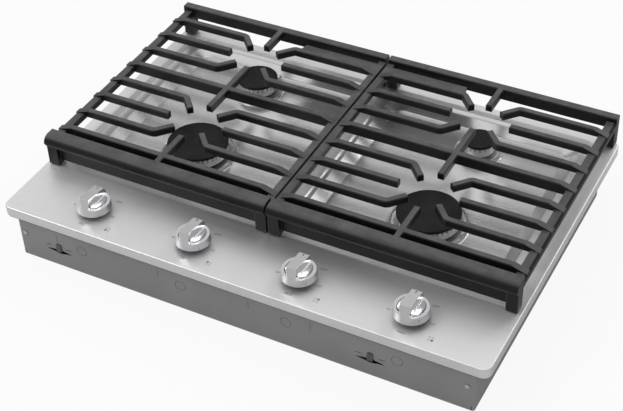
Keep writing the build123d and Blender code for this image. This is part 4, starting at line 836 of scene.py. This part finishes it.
def is_bend(edge):
    first, second = (v.co for v in edge.verts)
    if len(edge.link_faces) != 2 or is_rim_edge(edge) or abs(first.z - second.z) > NEAR:
        return False
    x0, x1, y0, y1 = grown(RECESS, 0.005)
    inside = x0 < first.x < x1 and y0 < first.y < y1
    return inside and edge.calc_face_angle(0.0) > BEND_ANGLE


print("rim edges:", pick(steel, "edges", is_rim_edge))
bpy.ops.mesh.bevel(offset=RIM_ROUND, segments=4, affect="EDGES")
print("bends:", pick(steel, "edges", is_bend))
bpy.ops.mesh.bevel(offset=BEND_ROUND, segments=4, affect="EDGES", clamp_overlap=True)

# %% Fold the lip under the rim
RIM_FOOT = TOP - RIM_DROP


def is_foot(edge):
    return edge.is_boundary and all(v.co.z < RIM_FOOT + 0.0001 for v in edge.verts)


print("lip edges:", pick(steel, "edges", is_foot))
bpy.ops.mesh.extrude_region_move()
lip_share = ((WIDTH / 2 - LIP) / (WIDTH / 2), (DEPTH / 2 - LIP) / (DEPTH / 2), 1.0)
bpy.ops.transform.resize(value=lip_share, center_override=(0.0, 0.0, 0.0))
leave_edit(steel)
print("sheet faces:", len(steel.data.polygons))

# %% [markdown]
# Around each burner the press leaves a groove, a raised bead and a flat lip. They are turned
# shapes, so one profile is drawn by extruding a single vertex, and the Spin tool turns it about
# the burner's axis. The ring is joined to the sheet and its outer edge is welded to the hole.

# %% Spin a ring for each burner
# Each step is how far outside the burner's cap it is, and how high above the well's floor.
RING_PROFILE = (
    (HOLE_MARGIN, 0.0), (0.0134, -0.0005), (0.0129, -0.0011), (0.0123, -0.0012),
    (0.0117, -0.0009), (0.0112, 0.0003), (0.0108, 0.0019), (0.0104, 0.0030),
    (0.0099, 0.0035), (0.0093, 0.0031), (0.0086, 0.0017), (0.0080, 0.0009),
    (0.0073, 0.0005), (0.0050, 0.0005), (0.0030, 0.0005),
)
rings = []
for burner, (x, y, cap_r) in burner_places.items():
    ring = start_mesh(bpy.ops.mesh.primitive_plane_add, f"{burner}_ring", size=0.001)
    bpy.ops.mesh.select_all(action="SELECT")
    bpy.ops.mesh.merge(type="CENTER")
    first_r, first_h = RING_PROFILE[0]
    bpy.ops.transform.translate(value=(x + cap_r + first_r, y, FLOOR + first_h))
    for (r0, h0), (r1, h1) in zip(RING_PROFILE, RING_PROFILE[1:]):
        move = {"value": (r1 - r0, 0.0, h1 - h0)}
        bpy.ops.mesh.extrude_vertices_move(TRANSFORM_OT_translate=move)
    bpy.ops.mesh.select_all(action="SELECT")
    bpy.ops.mesh.spin(
        steps=RING_STEPS, angle=math.tau, center=(x, y, 0.0), axis=(0.0, 0.0, 1.0)
    )
    bpy.ops.mesh.select_all(action="SELECT")
    bpy.ops.mesh.remove_doubles(threshold=2 * NEAR)
    rings.append(leave_edit(ring))
print("rings:", len(rings), "faces each:", len(rings[0].data.polygons))

# %% Weld the rings to the sheet and give it its thickness
select_only(steel)
for ring in rings:
    ring.select_set(True)
bpy.ops.object.join()
bpy.ops.object.mode_set(mode="EDIT")
close_up(reach=3 * NEAR)
broadest = max(bmesh.from_edit_mesh(steel.data).faces, key=lambda f: f.calc_area())
if broadest.normal.z < 0:
    bpy.ops.mesh.flip_normals()
open_edges = pick(steel, "edges", lambda e: e.is_boundary)
leave_edit(steel)
print("open edges left:", open_edges, "of which burner holes", RING_STEPS * len(rings))
apply_modifier(steel, "SOLIDIFY", thickness=SHEET, offset=-1.0, use_even_offset=True)

# %% Holes for the knob shafts and the electrodes
SHAFT_XS = (-0.251, -0.084, 0.084, 0.251)
KNOB_Y = -0.2125
SHAFT_HOLE_R, ELECTRODE_HOLE_R, ELECTRODE_REACH = 0.006, 0.0046, 0.0056
FRONT_ANGLE, REAR_ANGLE = math.radians(135), math.radians(45)
holes = [(x, KNOB_Y, SHAFT_HOLE_R) for x in SHAFT_XS]
for burner, (x, y, cap_r) in burner_places.items():
    angle = FRONT_ANGLE if burner.startswith("front") else REAR_ANGLE
    reach = cap_r + ELECTRODE_REACH
    holes.append((x + reach * math.cos(angle), y + reach * math.sin(angle), ELECTRODE_HOLE_R))
for x, y, radius in holes:
    drill(steel, "small_hole", 32, radius, 0.05, (x, y, TOP), folded=True)
print("small holes:", len(holes), "faces:", len(steel.data.polygons))

# %% Smooth the bends and put the sheet in place of the sharp one
smooth_and_paint(steel, "brushed_steel_top", 32)
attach(steel, "cooktop")
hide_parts("steel_top")
print("steel top in place, faces:", len(steel.data.polygons))

# %% [markdown]
# ## The knobs
# Each knob is die-cast and satin chromed: a tapered body with a bar across it for the fingers,
# whose top falls towards the back, and a shelf on each side with a shallow scoop. It could be
# sculpted, but its faces are plain ones, so it is cut from a tapered cylinder as a machinist
# would: the top with a Bisect, the shelves with a block, the scoops with a ball. One knob is made
# and the others are copies of it, each with its own mesh, because each turns on its own body.

# %% Sizes of a knob
KNOB_FOOT, KNOB_HEIGHT, KNOB_R, KNOB_TOP_SHARE = 0.096, 0.034, 0.0258, 0.80
BAR_TOP, BAR_HALF, FALL = 0.0262, 0.0077, math.radians(8.5)
REAR_BACK, REAR_UP, REAR_FACES = 0.0180, 0.0235, (0.0, 0.8986, 0.4387)
SHELF_UP, SHELF_ROUND, SHELF_BLOCK = 0.0108, 0.0008, (0.04, 0.08, 0.04)
SCOOP_OUT, SCOOP_UP, SCOOP_GAP, SCOOP_SIZE = 0.0085, 0.0002, 0.0010, (0.0108, 0.0172, 0.0034)
HOLLOW_R, HOLLOW_LENGTH, BORE_R, BORE_LENGTH = 0.0226, 0.013, 0.00402, 0.046


def on_knob(right=0.0, back=0.0, up=0.0):
    # A place measured from the middle of the first knob's foot.
    return (SHAFT_XS[0] + right, KNOB_Y + back, KNOB_FOOT + up)


print("first knob stands at", on_knob())

# %% Body of a knob
knob = start_mesh(
    bpy.ops.mesh.primitive_cylinder_add,
    "satin_knob_1",
    vertices=96,
    radius=KNOB_R,
    depth=KNOB_HEIGHT,
    location=on_knob(up=KNOB_HEIGHT / 2),
)
knob_top = on_knob(up=KNOB_HEIGHT)
pick(knob, "faces", lambda f: f.calc_center_median().z > knob_top[2] - NEAR)
taper = (KNOB_TOP_SHARE, KNOB_TOP_SHARE, 1.0)
bpy.ops.transform.resize(value=taper, center_override=knob_top)
bpy.ops.mesh.select_all(action="SELECT")
bpy.ops.mesh.bisect(
    plane_co=on_knob(up=BAR_TOP),
    plane_no=(0.0, math.sin(FALL), math.cos(FALL)),
    use_fill=True,
    clear_outer=True,
)
bpy.ops.mesh.select_all(action="SELECT")
bpy.ops.mesh.bisect(
    plane_co=on_knob(back=REAR_BACK, up=REAR_UP), plane_no=REAR_FACES, clear_outer=True
)
print("rear edges:", pick(knob, "edges", lambda e: e.is_boundary))
bpy.ops.mesh.edge_face_add()
close_up()
leave_edit(knob)
print("knob body faces:", len(knob.data.polygons))

# %% Cut the shelves and the scoops
for side in (-1, 1):
    block = start_mesh(
        bpy.ops.mesh.primitive_cube_add,
        "shelf_block",
        size=1.0,
        location=on_knob(side * (BAR_HALF + SHELF_BLOCK[0] / 2), up=SHELF_UP + SHELF_BLOCK[2] / 2),
        scale=SHELF_BLOCK,
    )
    corner_x, _, corner_z = on_knob(side * BAR_HALF, up=SHELF_UP + 10 * NEAR)

    def is_corner(edge, x=corner_x, z=corner_z):
        return all(abs(v.co.x - x) < NEAR and v.co.z < z for v in edge.verts)

    pick(block, "edges", is_corner)
    bpy.ops.mesh.bevel(offset=SHELF_ROUND, segments=3, affect="EDGES")
    cut_with(knob, leave_edit(block))
    ball = start_mesh(
        bpy.ops.mesh.primitive_uv_sphere_add,
        "scoop_ball",
        segments=64,
        ring_count=32,
        radius=1.0,
        location=on_knob(side * SCOOP_OUT, up=SHELF_UP + SCOOP_UP),
        scale=SCOOP_SIZE,
    )
    bpy.ops.mesh.select_all(action="SELECT")
    bpy.ops.mesh.bisect(
        plane_co=on_knob(side * (BAR_HALF + SCOOP_GAP), up=SHELF_UP),
        plane_no=(side, 0.0, 0.0),
        use_fill=True,
        clear_inner=True,
    )
    close_up()
    cut_with(knob, leave_edit(ball))
print("knob faces after the shelves:", len(knob.data.polygons))

# %% Hollow the foot, bore the shaft hole and break the sharp edges
drill(knob, "knob_hollow", 64, HOLLOW_R, HOLLOW_LENGTH, on_knob())
drill(knob, "knob_bore", 32, BORE_R, BORE_LENGTH, on_knob())
SHARP = math.radians(35)
apply_modifier(knob, "BEVEL", width=0.0005, segments=3, limit_method="ANGLE", angle_limit=SHARP)
smooth_and_paint(knob, "knob_metal", 30)
print("finished knob faces:", len(knob.data.polygons))

# %% [markdown]
# The pointer is a thin black inlay near the back of the bar. It lies on the falling top, so it is
# made level and then turned about its own middle by the same angle.

# %% The pointer
POINTER_BACK, POINTER_SINK, POINTER_SIZE = 0.0145, 0.00015, (0.0013, 0.0050, 0.0006)
on_bar = BAR_TOP - POINTER_BACK * math.tan(FALL)
pointer = start_mesh(
    bpy.ops.mesh.primitive_cube_add,
    "pointer_inlay_1",
    size=1.0,
    location=on_knob(back=POINTER_BACK, up=on_bar - POINTER_SINK),
    scale=POINTER_SIZE,
)
bpy.ops.mesh.select_all(action="SELECT")
tilt_about = on_knob(back=POINTER_BACK, up=on_bar)
bpy.ops.transform.rotate(value=FALL, orient_axis="X", center_override=tilt_about)
bpy.ops.mesh.bevel(offset=0.0002, segments=2, affect="EDGES")
leave_edit(pointer)
moulded_finish("black_inlay", "black_inlay", (0.012, 0.012, 0.012), 0.5, 1500.0, 0.1, 0.05)
paint(pointer, "black_inlay")
print("pointer faces:", len(pointer.data.polygons))

# %% Copy the knob and its pointer to the other shafts


def copied(original, name, to_the_right):
    select_only(original)
    bpy.ops.object.duplicate()
    piece = bpy.context.object
    bpy.ops.transform.translate(value=(to_the_right, 0.0, 0.0))
    bpy.ops.object.transform_apply(location=True, rotation=False, scale=False)
    piece.name = name
    piece.data.name = name
    return piece


pairs = [(knob, pointer)]
for number, x in enumerate(SHAFT_XS[1:], start=2):
    knob_copy = copied(knob, f"satin_knob_{number}", x - SHAFT_XS[0])
    pairs.append((knob_copy, copied(pointer, f"pointer_inlay_{number}", x - SHAFT_XS[0])))
for number, (knob_piece, pointer_piece) in enumerate(pairs, start=1):
    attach(knob_piece, f"knob_{number}")
    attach(pointer_piece, f"knob_{number}")
    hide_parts(f"knob_{number}")

# %% [markdown]
# ## Printed dial marks
# The words and the small burner signs around each knob are screen printed in dark grey ink. A
# printed mark is a film with no edge to see, so a flat text made into a mesh and laid a
# twentieth of a millimetre above the steel is enough. The words are plain ones: OFF, LO, MED, HI.

# %% Ink
INK_Z = TOP + 0.00005
finish, tree, shader = new_finish("dial_ink", 0.0, 0.55, (0.05, 0.05, 0.05))
faded = place_group(tree, smudges, Scale=240.0, Contrast=1.0)["Mask"]
inked = two_tones(tree, faded, (0.035, 0.035, 0.036), (0.11, 0.11, 0.11))
feed("dial_ink", finish, Base_Color=inked, Roughness=stretched(tree, faded, (0.5, 0.62)))

# %% Words round each knob
# Each word with its place to the right of the shaft and behind it.
WORDS = (
    ("OFF", 0.0215, 0.0310),
    ("LO", 0.0310, -0.0010),
    ("MED", 0.0, -0.0330),
    ("HI", -0.0330, -0.0010),
)
LETTER_SIZE, LETTER_GAP = 0.0056, 1.08


def keep_as_print(piece, name):
    # Turns a text or a mesh into a flat print that rides with the steel top.
    select_only(piece)
    if piece.type == "FONT":
        bpy.ops.object.convert(target="MESH")
        piece = bpy.context.object
    bpy.ops.object.transform_apply(location=True, rotation=True, scale=True)
    piece.name = name
    piece.data.name = name
    paint(piece, "dial_ink")
    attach(piece, "cooktop")


for number, x in enumerate(SHAFT_XS, start=1):
    for word, right, back in WORDS:
        bpy.ops.object.select_all(action="DESELECT")
        bpy.ops.object.text_add(location=(x + right, KNOB_Y + back, INK_Z))
        text = bpy.context.object
        text.data.body = word
        text.data.size = LETTER_SIZE
        text.data.align_x = "CENTER"
        text.data.align_y = "CENTER"
        text.data.space_character = LETTER_GAP
        text.data.resolution_u = 4
        keep_as_print(text, f"dial_word_{word}_{number}")
print("words printed:", len(WORDS) * len(SHAFT_XS))

# %% [markdown]
# A burner sign is four dots in a square, one for each burner. Three are open rings, and the
# filled one tells which burner the knob feeds.

# %% Burner signs
FILLED = {1: (-1, -1), 2: (-1, 1), 3: (1, 1), 4: (1, -1)}
SIGN_RIGHT, SIGN_BACK, DOT_STEP = 0.0400, -0.0270, 0.0023
FILLED_R, OPEN_R, DOT_WALL = 0.0017, 0.0015, 0.00035


def open_disc(piece, middle, wall):
    # Turns the disc at that place into a ring with the given wall.
    spot = Vector(middle)
    pick(piece, "faces", lambda f: (f.calc_center_median() - spot).length < NEAR)
    bpy.ops.mesh.inset(thickness=wall)
    bpy.ops.mesh.delete(type="FACE")


def add_disc(piece, name, **disc):
    # Adds a disc to the piece, or starts the piece with it.
    adder = bpy.ops.mesh.primitive_circle_add
    if piece is None:
        return start_mesh(adder, name, fill_type="NGON", **disc)
    adder(fill_type="NGON", **disc)
    return piece


for number, x in enumerate(SHAFT_XS, start=1):
    sign = None
    for side, row in ((-1, -1), (-1, 1), (1, -1), (1, 1)):
        right, back = SIGN_RIGHT + side * DOT_STEP, SIGN_BACK + row * DOT_STEP
        spot = (x + right, KNOB_Y + back, INK_Z)
        filled = FILLED[number] == (side, row)
        dot_r = FILLED_R if filled else OPEN_R
        sign = add_disc(sign, "sign", vertices=24, radius=dot_r, location=spot)
        if not filled:
            open_disc(sign, spot, wall=DOT_WALL)
    keep_as_print(leave_edit(sign), f"burner_sign_{number}")
print("burner signs printed:", len(FILLED))

# %% [markdown]
# ## Pressed marks on the front wall
# The front wall of the box carries four round marks, one under each knob, and four short upright
# lines, which the press leaves in its paint as fine dark grooves. The solid model has the grooves.
# The shade in them is painted: a thin dark ring or bar is laid inside each, below the wall's face.

# %% Painted shade in the pressed marks
# A near-black finish, which is the painted shade inside the grooves.
moulded_finish("painted_groove_shade", "painted_groove_shade", (0.03, 0.03, 0.03), 0.7, 900.0, 0.2, 0.0)
MARK_Z, MARK_R, LINE_Z = TOP - 0.044, 0.0085, TOP - 0.036
LINE_XS, LINE_WIDTH, LINE_HEIGHT = (-0.294, -0.1205, 0.026, 0.122), 0.0008, 0.015
BEHIND_FACE = 0.00015
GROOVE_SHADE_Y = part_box("box_front_wall")[0].y + BEHIND_FACE
UPRIGHT = (math.pi / 2, 0.0, 0.0)
groove_shade_piece = None
for x in SHAFT_XS:
    spot = (x, GROOVE_SHADE_Y, MARK_Z)
    disc = {"vertices": 48, "radius": MARK_R, "rotation": UPRIGHT, "location": spot}
    groove_shade_piece = add_disc(groove_shade_piece, "pressed_mark_painted_shade", **disc)
    open_disc(groove_shade_piece, spot, wall=LINE_WIDTH)
for x in LINE_XS:
    spot = (x, GROOVE_SHADE_Y, LINE_Z)
    bpy.ops.mesh.primitive_plane_add(size=LINE_WIDTH, rotation=UPRIGHT, location=spot)
    longer = (1.0, 1.0, LINE_HEIGHT / LINE_WIDTH)
    bpy.ops.transform.resize(value=longer, center_override=spot)
leave_edit(groove_shade_piece)
paint(groove_shade_piece, "painted_groove_shade")
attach(groove_shade_piece, "cooktop")
print("pressed marks, faces:", len(groove_shade_piece.data.polygons))
